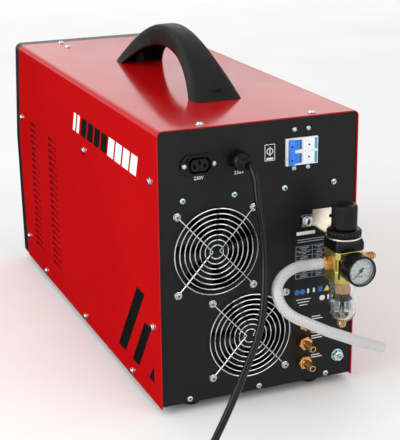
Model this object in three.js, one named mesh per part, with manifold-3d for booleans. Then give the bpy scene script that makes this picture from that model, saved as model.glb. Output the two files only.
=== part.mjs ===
// Plasma cutter unit: a folded steel case on rubber feet, with its controls at the front (-Y) and its mains
// breaker, sockets, fans, gas fittings and filter regulator on the rear panel (+Y).
// Millimetres, +Z up. The origin is under the middle of the machine, on the surface that it stands on.
import * as THREE from 'three';
import { mergeVertices } from 'three/addons/utils/BufferGeometryUtils.js';
import Module from 'manifold-3d';

const wasm = await Module();
wasm.setup();

// ---------------------------------------------------------------- driving dimensions
const GAP = 0.3; // air between pieces that touch
const SHEET = 1.5; // steel sheet

const FOOT = { height: 12.7, radius: 14, fromSide: 50, fromRear: 28, fromFront: 70 };
const FLOOR_GAP = FOOT.height + GAP; // underside of the base pan

const PANEL = { width: 275.6, height: 368, corner: 7 };
const PANEL_TOP = FLOOR_GAP + PANEL.height;

const COVER = { width: 279.2, bend: 8, bottom: FLOOR_GAP - 2.5, rearLip: 2 };
COVER.top = PANEL_TOP + GAP + SHEET;
const KINK_Z = 218; // height of the crease across the front
const COVER_FRONT = { top: 648, kink: 678, bottom: 659 }; // from the rear panel to the cover's front edge
const BEZEL_FRONT = { top: 672, kink: 696, bottom: 684 };
const BEZEL = { corner: 10, rim: 15, panelSetBack: 8 };
const PAN_LENGTH = 658;
const PAN_LIP = 22;

const LOUVRE = { columns: [-579, -473], count: 21, top: 257, bottom: 49, length: 44, slot: 7 };

const HANDLE = { x: 3, y: -287, halfLength: 167, height: 77, innerHalfLength: 136, innerHeight: 47 };
HANDLE.halfWidth = { crown: 14.5, foot: 34 };
HANDLE.boltOffset = 148;
HANDLE.seat = COVER.top + GAP;

const FAN = { size: 119, depth: 25, bore: 57.5, screwPitch: 104.8, hubRadius: 20, blades: 7 };
const FANS = { upper: { x: 61.5, z: 218.3 }, lower: { x: 14.3, z: 94.8 } };
const GRILLE = { rings: 8, outer: 57.5, pitch: 6.9, wire: 2 };

const SHELF = { z: 281.5, length: 560, flange: 15 };
const BREAKER = { x: -58.2, z: 337, width: 45, height: 35.6, rise: 3, bodyWidth: 83, depth: 58 };
const TOGGLE = { x: BREAKER.x + 9, y: -3, radius: 8, lean: 35 };
const OUTLET = { x: 83.8, z: 335, width: 50, height: 27 };
const GLAND = { x: 31, z: 336, length: 34 };
const CABLE = { diameter: 9.2 };
const HOSE = { diameter: 14 };
const COIL = { turnsApart: CABLE.diameter, midRadius: 50, x: 159.3, y: 255, layers: 3 };

const REG = { x: -91.2, y: 58, portZ: 203, bodyTop: 220, bodyBottom: 178, side: 40 };
const ARM = { z: 235, thick: 2 };
const GAUGE = { radius: 20, rear: 78.3, front: 108, bezel: 2.4 };
const FITTINGS = { x: -65.5, z: [99, 71, 43], tip: 30 };
const EARTH = { x: -116.6, z: 43 };

const KNOB = { x: 70, z: 300 };
const TORCH = { x: 70, z: 105 };
const CLAMP = { x: -70, z: 105 };
const BUTTON_Z = 252;
const DISPLAY = { left: -91, right: 1 };

// ---------------------------------------------------------------- materials
const paint = (color, roughness, metalness = 0) =>
  new THREE.MeshStandardMaterial({ color, roughness, metalness });
const RED = paint(0xc81420, 0.25);
const BLACK_PAINT = paint(0x242424, 0.5);
const BLACK_PLASTIC = paint(0x1c1c1e, 0.55);
const RUBBER = paint(0x151515, 0.8);
const ZINC = paint(0xb8bcc0, 0.35, 1);
const CHROME = paint(0xd8dadc, 0.15, 1);
const BRASS = paint(0xc08a40, 0.3, 1);
const GILT = paint(0xb0a050, 0.4, 1);
const NICKEL = paint(0xb8b09c, 0.3, 1);
const ALUMINIUM = paint(0xa8acb0, 0.4, 1);
const WHITE_PLASTIC = paint(0xe6e8e8, 0.4);
const BLUE_PLASTIC = paint(0x0c6ad8, 0.35);
const CLEAR = paint(0xd8e0e0, 0.1);
const BRONZE = paint(0xd08a50, 0.8);
const BOARD_GREEN = paint(0x1d5a38, 0.6);
const COPPER = paint(0xa85c30, 0.4, 1);
const HOSE_WHITE = paint(0xdcdcd8, 0.3);

// ---------------------------------------------------------------- solids
const radians = THREE.MathUtils.degToRad;

// A geometry with its shared vertices merged, its empty triangles dropped and its faces pointing out.
function tidy(geometry) {
  const bare = geometry.clone();
  bare.deleteAttribute('normal');
  bare.deleteAttribute('uv');
  const merged = mergeVertices(bare, 1e-3);
  const position = merged.attributes.position;
  const corners = [0, 1, 2].map(() => new THREE.Vector3());
  const index = [];
  let volume = 0;
  for (let i = 0; i < merged.index.count; i += 3) {
    const triangle = [0, 1, 2].map((k) => merged.index.getX(i + k));
    if (new Set(triangle).size < 3) continue;
    triangle.forEach((vertex, k) => corners[k].fromBufferAttribute(position, vertex));
    volume += corners[0].dot(corners[1].clone().cross(corners[2]));
    index.push(...triangle);
  }
  if (volume < 0) index.reverse();
  merged.setIndex(index);
  return merged;
}

function toSolid(geometry) {
  const closed = tidy(geometry);
  const vertProperties = new Float32Array(closed.attributes.position.array);
  const triVerts = new Uint32Array(closed.index.array);
  return new wasm.Manifold(new wasm.Mesh({ numProp: 3, vertProperties, triVerts }));
}

function toGeometry(solid) {
  const mesh = solid.getMesh();
  const geometry = new THREE.BufferGeometry();
  geometry.setAttribute('position', new THREE.BufferAttribute(new Float32Array(mesh.vertProperties), 3));
  geometry.setIndex(Array.from(mesh.triVerts));
  return geometry;
}

const join = (first, ...rest) =>
  toGeometry(rest.reduce((sum, piece) => sum.add(toSolid(piece)), toSolid(first)));
const cut = (first, ...rest) =>
  toGeometry(rest.reduce((left, piece) => left.subtract(toSolid(piece)), toSolid(first)));
const common = (first, second) => toGeometry(toSolid(first).intersect(toSolid(second)));

// A block between two corners.
function block(low, high) {
  const size = high.map((value, axis) => value - low[axis]);
  const centre = high.map((value, axis) => (value + low[axis]) / 2);
  return new THREE.BoxGeometry(...size).translate(...centre);
}

// A solid of revolution: profile points are [radius, distance along the axis].
function turned(axis, profile, sides = 16) {
  const shape = new THREE.LatheGeometry(profile.map(([r, along]) => new THREE.Vector2(r, along)), sides);
  if (axis === 'z') shape.rotateX(Math.PI / 2);
  if (axis === 'x') shape.rotateZ(-Math.PI / 2);
  return shape;
}

const rod = (axis, radius, from, to, sides = 16) =>
  turned(axis, [[0, from], [radius, from], [radius, to], [0, to]], sides);

// A closed band of revolution, from its section's corners.
const band = (axis, section, sides) => turned(axis, [...section, section[0]], sides);

function polygon(points) {
  return new THREE.Shape(points.map(([a, b]) => new THREE.Vector2(a, b)));
}

function roundedRectangle(left, bottom, right, top, radii) {
  const [topRadius, bottomRadius] = radii;
  const shape = new THREE.Shape();
  shape.moveTo(left + bottomRadius, bottom);
  shape.lineTo(right - bottomRadius, bottom);
  if (bottomRadius) {
    shape.absarc(right - bottomRadius, bottom + bottomRadius, bottomRadius, -Math.PI / 2, 0, false);
  }
  shape.lineTo(right, top - topRadius);
  shape.absarc(right - topRadius, top - topRadius, topRadius, 0, Math.PI / 2, false);
  shape.lineTo(left + topRadius, top);
  shape.absarc(left + topRadius, top - topRadius, topRadius, Math.PI / 2, Math.PI, false);
  shape.lineTo(left, bottom + bottomRadius);
  if (bottomRadius) {
    shape.absarc(left + bottomRadius, bottom + bottomRadius, bottomRadius, Math.PI, 1.5 * Math.PI, false);
  }
  return shape;
}

function roundHole(x, z, radius, sides = 26) {
  const rim = Array.from({ length: sides }, (_, i) => {
    const angle = (-2 * Math.PI * i) / sides;
    return new THREE.Vector2(x + radius * Math.cos(angle), z + radius * Math.sin(angle));
  });
  return new THREE.Path(rim);
}

// A square with its corners cut off.
function cutSquare(half, corner) {
  const side = half - corner;
  return polygon([[-half, -side], [-side, -half], [side, -half], [half, -side],
    [half, side], [side, half], [-side, half], [-half, side]]);
}

// A plate drawn in X and Z, from the face at y back (towards -Y) by its thickness.
function plate(shape, y, thickness, curveSegments = 5) {
  const flat = new THREE.ExtrudeGeometry(shape, { depth: thickness, bevelEnabled: false, curveSegments });
  return flat.rotateX(Math.PI / 2).translate(0, y, 0);
}

// A bar along X whose section is drawn in Y and Z.
function barAlongX(points, width, x = 0) {
  const bar = new THREE.ExtrudeGeometry(polygon(points), { depth: width, bevelEnabled: false });
  return bar.rotateY(Math.PI / 2).rotateX(Math.PI / 2).translate(x - width / 2, 0, 0);
}

// A slab whose outline is drawn in X and Y.
function slab(shape, bottom, top) {
  const depth = top - bottom;
  const solid = new THREE.ExtrudeGeometry(shape, { depth, bevelEnabled: false, curveSegments: 6 });
  return solid.translate(0, 0, bottom);
}

function tube(points, diameter, sides, steps) {
  const ring = Array.from({ length: sides }, (_, i) => {
    const angle = (2 * Math.PI * i) / sides;
    return [(Math.cos(angle) * diameter) / 2, (Math.sin(angle) * diameter) / 2];
  });
  const path = new THREE.CatmullRomCurve3(points.map((p) => new THREE.Vector3(...p)));
  return new THREE.ExtrudeGeometry(polygon(ring), { extrudePath: path, steps, bevelEnabled: false });
}

// ---------------------------------------------------------------- the assembly
const plasmaCutter = new THREE.Group();
const machine = new THREE.Group(); // y = 0 is the outside of the rear panel, z = 0 is the floor
plasmaCutter.add(machine);

function add(name, geometry, material, place = [0, 0, 0], parent = machine) {
  const mesh = new THREE.Mesh(tidy(geometry), material);
  mesh.name = name;
  mesh.position.set(...place);
  parent.add(mesh);
  return mesh;
}

// ---------------------------------------------------------------- case
function sideLine(front, rear = -COVER.rearLip) {
  const low = COVER.bottom - 5;
  const high = COVER.top + 5;
  return [[-rear, low], [-front.bottom, low], [-front.bottom, COVER.bottom], [-front.kink, KINK_Z],
    [-front.top, COVER.top], [-front.top, high], [-rear, high]];
}

function coverShell() {
  const half = COVER.width / 2;
  const inner = half - SHEET;
  const bendIn = COVER.bend - SHEET;
  const outline = new THREE.Shape();
  outline.moveTo(half, COVER.bottom);
  outline.lineTo(half, COVER.top - COVER.bend);
  outline.absarc(half - COVER.bend, COVER.top - COVER.bend, COVER.bend, 0, Math.PI / 2, false);
  outline.lineTo(-half + COVER.bend, COVER.top);
  outline.absarc(-half + COVER.bend, COVER.top - COVER.bend, COVER.bend, Math.PI / 2, Math.PI, false);
  outline.lineTo(-half, COVER.bottom);
  outline.lineTo(-inner, COVER.bottom);
  outline.lineTo(-inner, COVER.top - COVER.bend);
  outline.absarc(-inner + bendIn, COVER.top - COVER.bend, bendIn, Math.PI, Math.PI / 2, true);
  outline.lineTo(inner - bendIn, COVER.top - SHEET);
  outline.absarc(inner - bendIn, COVER.top - COVER.bend, bendIn, Math.PI / 2, 0, true);
  outline.lineTo(inner, COVER.bottom);
  const folded = plate(outline, COVER.rearLip, COVER_FRONT.kink + COVER.rearLip + 5);
  const slots = [];
  const step = (LOUVRE.top - LOUVRE.bottom) / (LOUVRE.count - 1);
  for (const y of LOUVRE.columns) {
    for (let i = 0; i < LOUVRE.count; i += 1) {
      const z = LOUVRE.bottom + i * step;
      slots.push(block([-150, y - LOUVRE.length / 2, z], [150, y + LOUVRE.length / 2, z + LOUVRE.slot]));
    }
  }
  const boltHole = rod('z', 3.4, COVER.top - 10, COVER.top + 5, 12);
  const bolts = [-1, 1].map((end) =>
    boltHole.clone().translate(HANDLE.x, HANDLE.y + end * HANDLE.boltOffset, 0));
  const trimmed = common(folded, barAlongX(sideLine(COVER_FRONT), COVER.width + 20));
  return cut(trimmed, ...slots, ...bolts);
}

function basePan() {
  const half = PANEL.width / 2;
  const floor = block([-half, -PAN_LENGTH, FLOOR_GAP], [half, -SHEET - GAP, FLOOR_GAP + SHEET]);
  const lips = [-1, 1].map((side) =>
    block([side * half - (side > 0 ? SHEET : 0), -PAN_LENGTH, FLOOR_GAP],
      [side * half + (side < 0 ? SHEET : 0), -SHEET - GAP, FLOOR_GAP + PAN_LIP]));
  const rear = block([-half, -2 * SHEET - GAP, FLOOR_GAP], [half, -SHEET - GAP, FLOOR_GAP + 16]);
  const front = block([-half, -PAN_LENGTH, FLOOR_GAP], [half, -PAN_LENGTH + SHEET, FLOOR_GAP + 40]);
  return join(floor, ...lips, rear, front);
}

function rearPanel() {
  const half = PANEL.width / 2;
  const outline = roundedRectangle(-half, FLOOR_GAP, half, PANEL_TOP, [PANEL.corner, 0]);
  for (const fan of Object.values(FANS)) outline.holes.push(roundHole(fan.x, fan.z, 55));
  const sheet = plate(outline, 0, SHEET, 5);
  const window = block([BREAKER.x - 22.9, -9, BREAKER.z - 18.2], [BREAKER.x + 22.9, 9, BREAKER.z + 18.2]);
  const socket = block([OUTLET.x - 15, -9, OUTLET.z - 11.5], [OUTLET.x + 15, 9, OUTLET.z + 11.5]);
  const gland = rod('y', 9.4, -9, 9, 16).translate(GLAND.x, 0, GLAND.z);
  const gas = FITTINGS.z.map((z) => rod('y', 5.4, -9, 9, 12).translate(FITTINGS.x, 0, z));
  const earth = rod('y', 4.4, -9, 9, 12).translate(EARTH.x, 0, EARTH.z);
  const bracket = rod('y', 3.4, -9, 9, 12).translate(REG.x + 23.5, 0, 241.4);
  return cut(sheet, window, socket, gland, ...gas, earth, bracket);
}

function frontBezel() {
  const half = COVER.width / 2;
  const { corner, rim } = BEZEL;
  const depth = sideLine(BEZEL_FRONT);
  const { top, kink, bottom } = COVER_FRONT;
  const behind = sideLine({ top: top + GAP, kink: kink + GAP, bottom: bottom + GAP });
  const wedge = cut(barAlongX(depth, COVER.width + 10), barAlongX(behind, COVER.width + 20));
  const outline = roundedRectangle(-half, COVER.bottom, half, COVER.top, [corner, 4]);
  const opening = block([-half + rim, -800, COVER.bottom + rim], [half - rim, -400, COVER.top - rim]);
  return cut(common(wedge, plate(outline, -500, 300)), opening);
}

function frontFace(z) {
  const reach = z > KINK_Z
    ? THREE.MathUtils.mapLinear(z, KINK_Z, COVER.top, BEZEL_FRONT.kink, BEZEL_FRONT.top)
    : THREE.MathUtils.mapLinear(z, COVER.bottom, KINK_Z, BEZEL_FRONT.bottom, BEZEL_FRONT.kink);
  return -reach + BEZEL.panelSetBack;
}

function frontPanel() {
  const low = COVER.bottom + BEZEL.rim + GAP;
  const high = COVER.top - BEZEL.rim - GAP;
  const thick = 2;
  const outer = [[frontFace(low), low], [frontFace(KINK_Z), KINK_Z], [frontFace(high), high]];
  const inner = outer.map(([y, z]) => [y + thick, z]).reverse();
  const width = COVER.width - 2 * (BEZEL.rim + GAP);
  const sheet = barAlongX([...outer, ...inner], width);
  const through = (x, z, radius) => rod('y', radius, -720, -600, 16).translate(x, 0, z);
  const holes = [through(KNOB.x, KNOB.z, 4.5), through(TORCH.x, TORCH.z, 13.4), through(CLAMP.x, CLAMP.z, 11.4),
    through(0, BUTTON_Z, 5.4)];
  const displayHole = block([DISPLAY.left - 1, -720, 280], [DISPLAY.right + 1, -600, 332]);
  return cut(sheet, ...holes, displayHole);
}

function handle() {
  const stations = 18;
  const positions = [];
  const index = [];
  for (let i = 0; i <= stations; i += 1) {
    const s = -1 + (2 * i) / stations;
    const rise = 1 - s * s;
    const { crown, foot } = HANDLE.halfWidth;
    const wide = crown + (foot - crown) * Math.abs(s) ** 2.2;
    const outer = [s * HANDLE.halfLength, HANDLE.height * rise];
    const inner = [s * HANDLE.innerHalfLength, HANDLE.innerHeight * rise];
    const bevel = 4;
    const upper = THREE.MathUtils.lerp(outer[1], inner[1], 0.18);
    const between = THREE.MathUtils.lerp(outer[0], inner[0], 0.18);
    positions.push(-wide + bevel, ...outer, wide - bevel, ...outer, wide, between, upper,
      wide, ...inner, -wide, ...inner, -wide, between, upper);
  }
  for (let i = 0; i < stations; i += 1) {
    for (let k = 0; k < 6; k += 1) {
      const [a, b] = [6 * i + k, 6 * i + ((k + 1) % 6)];
      index.push(a, b, b + 6, a, b + 6, a + 6);
    }
  }
  for (let k = 1; k < 5; k += 1) {
    const last = 6 * stations;
    index.push(0, k + 1, k, last, last + k, last + k + 1);
  }
  const arch = new THREE.BufferGeometry();
  arch.setAttribute('position', new THREE.BufferAttribute(new Float32Array(positions), 3));
  arch.setIndex(index);
  const pockets = [-1, 1].flatMap((end) => [
    rod('z', 6.5, 4, 60, 14).translate(0, end * HANDLE.boltOffset, 0),
    rod('z', 3.4, -5, 10, 12).translate(0, end * HANDLE.boltOffset, 0)]);
  return cut(arch, ...pockets);
}

function midShelf() {
  const half = PANEL.width / 2 - 1;
  const rear = -SHEET - GAP;
  const deck = block([-half, -SHELF.length, SHELF.z], [half, rear, SHELF.z + SHEET]);
  const flange = block([-half, rear - SHEET, SHELF.z], [half, rear, SHELF.z + SHELF.flange + SHEET]);
  return join(deck, flange);
}

add('cover_shell', coverShell(), RED);
add('base_pan', basePan(), BLACK_PAINT);
add('rear_panel', rearPanel(), BLACK_PAINT);
add('front_bezel', frontBezel(), BLACK_PLASTIC);
add('front_panel', frontPanel(), BLACK_PAINT);
add('handle', handle(), BLACK_PLASTIC, [HANDLE.x, HANDLE.y, HANDLE.seat]);
add('mid_shelf', midShelf(), ZINC);
for (const [where, end] of [['rear', 1], ['front', -1]]) {
  const bolt = turned('z', [[0, -14], [3, -14], [3, 4.3], [5.8, 4.3], [5.8, 7], [4.6, 8.6], [0, 9.4]], 14);
  add(`handle_bolt_${where}`, bolt, ZINC, [HANDLE.x, HANDLE.y + end * HANDLE.boltOffset, HANDLE.seat]);
}
const { radius: footRadius, height: footHeight } = FOOT;
const footProfile = [[0, 3], [4, 3], [4, 0], [footRadius - 2.5, 0], [footRadius, 3], [footRadius, footHeight],
  [0, footHeight]];
for (const [side, x] of [['left', 1], ['right', -1]]) {
  for (const [end, y] of [['rear', -FOOT.fromRear], ['front', -PAN_LENGTH + FOOT.fromFront]]) {
    const foot = turned('z', footProfile, 14);
    add(`foot_${end}_${side}`, foot, RUBBER, [x * (PANEL.width / 2 - FOOT.fromSide), y, 0]);
  }
}

// ---------------------------------------------------------------- fans and their guards
function fanFrame() {
  const outline = cutSquare(FAN.size / 2, 3);
  outline.holes.push(roundHole(0, 0, FAN.bore));
  const shroud = plate(outline, -SHEET - GAP, FAN.depth);
  const back = -SHEET - GAP - FAN.depth;
  const mount = rod('y', FAN.hubRadius + 1, back, back + 3, 12);
  const arms = [0, 90, 180, 270].map((turn) =>
    block([-2.5, back, FAN.hubRadius - 3], [2.5, back + 3, FAN.bore + 1]).rotateY(radians(turn + 20)));
  return join(shroud, mount, ...arms);
}

function fanRotor() {
  const hub = rod('y', FAN.hubRadius, -22, -4.5, 14);
  const blade = block([-11, -0.8, FAN.hubRadius - 2], [11, 0.8, FAN.bore - 2.5]);
  blade.rotateZ(radians(38)).translate(0, -13.5, 0);
  const blades = Array.from({ length: FAN.blades }, (_, i) =>
    blade.clone().rotateY((2 * Math.PI * i) / FAN.blades));
  return join(hub, ...blades);
}

function fanGrille() {
  const half = GRILLE.wire / 2;
  const [low, high] = [3.4 - half, 3.4 + half];
  const wireSection = (radius) => [[radius - half, low], [radius + half, low], [radius, high]];
  const rings = Array.from({ length: GRILLE.rings }, (_, i) =>
    band('y', wireSection(GRILLE.outer - i * GRILLE.pitch), 16));
  const corner = FAN.screwPitch / 2;
  const eyelets = [[1, 1], [1, -1], [-1, 1], [-1, -1]].map(([x, z]) =>
    band('y', [[2.4, 0.4], [5.4, 0.4], [5.4, 2.4], [2.4, 2.4]], 8).translate(x * corner, 0, z * corner));
  const apex = 5;
  const reach = Math.hypot(corner - apex, corner) - 4;
  const lean = Math.atan2(corner - apex, corner);
  const wires = [[1, 1], [1, -1], [-1, 1], [-1, -1]].map(([x, z]) => {
    const wire = block([-1.1, 0.7, -1], [1.1, 3, reach]).rotateY(lean * x);
    if (z < 0) wire.rotateY(Math.PI - 2 * lean * x);
    return wire.translate(x * apex, 0, 0);
  });
  return join(rings[0], ...rings.slice(1), ...eyelets, ...wires);
}

for (const [where, at] of Object.entries(FANS)) {
  add(`fan_frame_${where}`, fanFrame(), BLACK_PLASTIC, [at.x, 0, at.z]);
  add(`fan_rotor_${where}`, fanRotor(), BLACK_PLASTIC, [at.x, 0, at.z]);
  add(`fan_grille_${where}`, fanGrille(), CHROME, [at.x, 0, at.z]);
}

// ---------------------------------------------------------------- rear electrical fittings
function longOctagon(width, height, corner) {
  const [w, h] = [width / 2, height / 2];
  const slope = h * corner;
  return polygon([[-w, -h + slope], [-w + slope, -h], [w - slope, -h], [w, -h + slope],
    [w, h - slope], [w - slope, h], [-w + slope, h], [-w, h - slope]]);
}

function outletSocket() {
  const flange = plate(longOctagon(OUTLET.width, OUTLET.height, 0.62), 2.6, 2.3);
  const collar = plate(longOctagon(35, 25, 0.5), 4.4, 4.1);
  const body = block([-14.6, -24, -11.1], [14.6, 2, 11.1]);
  const moat = cut(plate(longOctagon(30, 20.5, 0.5), 6, 12), plate(longOctagon(24, 15, 0.5), 8, 16));
  const slots = [[-7, -1.5], [7, -1.5], [0, 3.5]].map(([x, z]) =>
    block([x - 1.3, -12, z - 2.6], [x + 1.3, 9, z + 2.6]));
  return cut(join(flange, collar, body), moat, ...slots);
}

function cableGland() {
  const thread = rod('y', 9, -12, 1);
  const hexagon = rod('y', 13.6, GAP, 6.5, 6);
  const dome = turned('y', [[0, 6], [12.4, 6], [12.4, 14], [9.6, 18.5], [7.6, 19.5], [6, GLAND.length],
    [0, GLAND.length]]);
  return join(thread, hexagon, dome);
}

function breakerBody() {
  const { rise, depth } = BREAKER;
  const [front, wide] = [BREAKER.width / 2, BREAKER.bodyWidth / 2];
  const profile = polygon([[-front, rise], [-front, -16], [-wide, -16], [-wide, -depth],
    [wide, -depth], [wide, -16], [front, -16], [front, rise]]);
  const half = BREAKER.height / 2;
  const housing = slab(profile, -half, half);
  const toggle = TOGGLE.x - BREAKER.x;
  const pockets = [-1, 1].map((pole) =>
    block([toggle - 9, -13, pole * 9 - 6.5], [toggle + 9, 9, pole * 9 + 6.5]));
  const shaft = rod('z', 2.9, -10, 10, 12).translate(toggle, TOGGLE.y, 0);
  return cut(housing, ...pockets, shaft);
}

function breakerLever() {
  const barrels = [-9, 9].map((z) => rod('z', TOGGLE.radius, z - 6, z + 6, 14));
  const shaft = rod('z', 2.4, -10, 10, 12);
  const spokes = [-9, 9].map((z) => block([-2.5, 3, z - 6], [2.5, 11, z + 6]));
  const grip = block([-2.5, 9.6, -15], [2.5, 14.5, 15]);
  return join(barrels[0], barrels[1], shaft, ...spokes, grip).rotateZ(-radians(TOGGLE.lean));
}

add('outlet_socket', outletSocket(), BLACK_PLASTIC, [OUTLET.x, 0, OUTLET.z]);
add('cable_gland', cableGland(), BLACK_PLASTIC, [GLAND.x, 0, GLAND.z]);
add('breaker_body', breakerBody(), WHITE_PLASTIC, [BREAKER.x, 0, BREAKER.z]);
add('breaker_lever', breakerLever(), BLUE_PLASTIC, [TOGGLE.x, TOGGLE.y, BREAKER.z]);

function earthBolt() {
  const stem = rod('y', 4, -16, 2, 12);
  const washer = rod('y', 8.6, GAP, 2.2, 20);
  const head = rod('y', 7.6, 2, 8, 6);
  return join(stem, washer, head);
}
add('earth_bolt', earthBolt(), ZINC, [EARTH.x, 0, EARTH.z]);

// ---------------------------------------------------------------- gas fittings
// A hose barb along an axis: a hexagon at its root, and two ridges before its open tip.
function hoseBarb(axis, hexFrom, hexTo, tip, radius, hexRadius) {
  const neck = hexTo - 1;
  const ridge = radius * 0.22;
  const bore = radius - 1.6;
  const stem = turned(axis, [[0, neck], [radius, neck], [radius, tip - 11], [radius + ridge, tip - 10],
    [radius, tip - 6], [radius + ridge, tip - 5], [radius - 0.4, tip], [bore, tip], [bore, neck + 3],
    [0, neck + 3]], 12);
  return join(rod(axis, hexRadius, hexFrom, hexTo, 6), stem);
}

FITTINGS.z.forEach((z, i) => {
  const outside = hoseBarb('y', GAP, 9, FITTINGS.tip, 4.6, 9.8);
  add(`gas_fitting_${i + 1}`, join(outside, rod('y', 5, -14, 1, 12)), BRASS, [FITTINGS.x, 0, z]);
});

// ---------------------------------------------------------------- filter regulator
function regulatorBracket() {
  const [left, right] = [24, -23];
  const wall = block([right, GAP, ARM.z], [left - 8, GAP + ARM.thick, ARM.z + 21]);
  const tab = block([left - 10, GAP, ARM.z - 1], [left + 7, GAP + ARM.thick, ARM.z + 14]);
  const arm = block([right, GAP, ARM.z], [16, REG.y, ARM.z + ARM.thick]);
  const round = rod('z', 23, ARM.z, ARM.z + ARM.thick, 24).translate(0, REG.y, 0);
  const throat = rod('z', 14.6, ARM.z - 5, ARM.z + 9, 20).translate(0, REG.y, 0);
  const screw = rod('y', 3.4, -2, 9, 12).translate(left - 0.5, 0, ARM.z + 6.4);
  const slot = rod('y', 2.6, -2, 9, 12).translate(-10.5, 0, ARM.z + 9.7);
  return cut(join(wall, tab, arm, round), throat, screw, slot);
}

function regulatorBody() {
  const casting = slab(cutSquare(REG.side / 2, 5), REG.bodyBottom, REG.bodyTop);
  const windows = [[1, 1], [-1, 1], [1, -1], [-1, -1]].map(([x, y]) =>
    block([x * 19 - 6, y * 19 - 6, REG.portZ - 8], [x * 19 + 6, y * 19 + 6, REG.portZ + 7]));
  return cut(casting, ...windows);
}

function regulatorBonnet() {
  const base = slab(cutSquare(20.5, 5), REG.bodyTop + GAP, ARM.z - GAP);
  const neck = turned('z', [[0, ARM.z - 5], [14, ARM.z - 5], [14, 246], [12.4, 247], [12.4, 258], [0, 258]]);
  const bore = rod('z', 4.9, 226, 270, 12);
  return cut(join(base, neck), bore);
}

const knobBottom = 247.5;
const knobTop = 278;
const regulator = new THREE.Group();
regulator.position.set(REG.x, REG.y, 0);
machine.add(regulator);
add('regulator_bracket', regulatorBracket(), NICKEL, [REG.x, 0, 0]);
const bracketBolt = turned('y', [[0, -8], [3, -8], [3, 2.6], [6.4, 2.6], [6.2, 4.6], [4, 6.4], [0, 7]], 16);
add('bracket_bolt', bracketBolt, CHROME, [REG.x + 23.5, 0, 241.4]);
add('regulator_body', regulatorBody(), GILT, [0, 0, 0], regulator);
add('regulator_bonnet', regulatorBonnet(), BLACK_PLASTIC, [0, 0, 0], regulator);
const ringFoot = ARM.z + ARM.thick + GAP;
const ring = band('z', [[14.4, ringFoot], [22.4, ringFoot], [22.4, 244], [20.6, 246], [14.4, 246]], 18);
add('bonnet_ring', ring, BLACK_PLASTIC, [0, 0, 0], regulator);
const screwProfile = [[0, 228], [4.3, 228], [4.3, 259], [7, 259], [7, 266], [0, 266]];
add('adjusting_screw', turned('z', screwProfile, 12), ZINC, [0, 0, 0], regulator);
const knobProfile = [[13.2, knobBottom], [16.6, knobBottom], [16.6, knobTop - 2.5], [14.6, knobTop],
  [0, knobTop], [0, 271], [13.2, 271]];
add('regulator_knob', band('z', knobProfile, 18), BLACK_PLASTIC, [0, 0, 0], regulator);

const gauge = new THREE.Group();
gauge.position.set(REG.x, 0, REG.portZ);
machine.add(gauge);
const { rear: gaugeRear, front: gaugeFront, radius: gaugeRadius, bezel } = GAUGE;
const gaugeCase = [[0, gaugeRear], [5.5, gaugeRear], [5.5, 84], [18.6, 84], [gaugeRadius, 86],
  [gaugeRadius, gaugeFront], [gaugeRadius - bezel, gaugeFront], [gaugeRadius - bezel, 101], [0, 101]];
add('gauge_case', turned('y', gaugeCase, 22), BLACK_PLASTIC, [0, 0, 0], gauge);
const dialRadius = gaugeRadius - bezel - GAP;
add('gauge_dial', rod('y', dialRadius, 101.3, 102, 22), WHITE_PLASTIC, [0, 0, 0], gauge);
function gaugeNeedle() {
  const hub = rod('y', 2, 102.4, 104.2, 10);
  const pointer = plate(polygon([[-0.9, -5], [0.9, -5], [0.5, 13.5], [-0.5, 13.5]]), 104, 1);
  return join(hub, pointer).rotateY(radians(135));
}
add('gauge_needle', gaugeNeedle(), BLACK_PLASTIC, [0, 0, 0], gauge);
add('gauge_lens', rod('y', dialRadius, 105.4, 107, 22), CLEAR, [0, 0, 0], gauge);

const bowl = [[3.5, 121], [10, 121.6], [15.4, 125.5], [17.4, 132], [17.4, 177.7],
  [15.2, 177.7], [15.2, 132.6], [13.4, 127.4], [9.4, 124.4], [3.5, 123.8]];
add('filter_bowl', band('z', bowl, 16), CLEAR, [0, 0, 0], regulator);
const element = [[3, 159], [8.6, 159], [8.6, 177.4], [3, 177.4]];
add('filter_element', band('z', element, 14), BRONZE, [0, 0, 0], regulator);
const baffle = [[0, 140], [3, 140], [4, 149], [12.5, 151], [12.5, 153.5], [8, 158.6], [0, 158.6]];
add('filter_baffle', turned('z', baffle, 14), BLACK_PLASTIC, [0, 0, 0], regulator);
const drain = [[0, 111], [4.4, 111], [5.6, 112.5], [5.6, 118], [3, 118.4], [3, 124.6], [5, 124.6], [5, 126.4],
  [3, 127], [3, 131], [0, 131]];
add('drain_valve', turned('z', drain, 12), BRASS, [0, 0, 0], regulator);

const half = REG.side / 2;
const inlet = hoseBarb('x', half + GAP, half + 9, half + 27, 5, 9.8);
add('inlet_fitting', inlet, BRASS, [0, 0, REG.portZ], regulator);
const outletBarb = hoseBarb('x', half + GAP, half + 7, half + 26, 4.2, 8).rotateZ(Math.PI);
add('outlet_fitting', outletBarb, BRASS, [0, 0, REG.portZ], regulator);

// ---------------------------------------------------------------- air hose and mains cable
// A clear hose from the inlet barb: it curls outwards and back under the filter bowl, and its end is free.
const hoseRoute = [[-43.4, 58, 203], [-38, 58.4, 203.3], [-29, 62, 205], [-12, 70, 206], [6, 80, 202],
  [17, 89, 194], [20, 97, 183], [16, 104, 171], [5, 110, 160], [-11, 115, 151.5], [-37, 119, 137.5],
  [-57, 119.5, 128], [-77, 118, 118], [-99, 115.5, 108], [-120.5, 112, 97.6]];
add('air_hose', tube(hoseRoute, HOSE.diameter, 8, 16), HOSE_WHITE);

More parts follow.
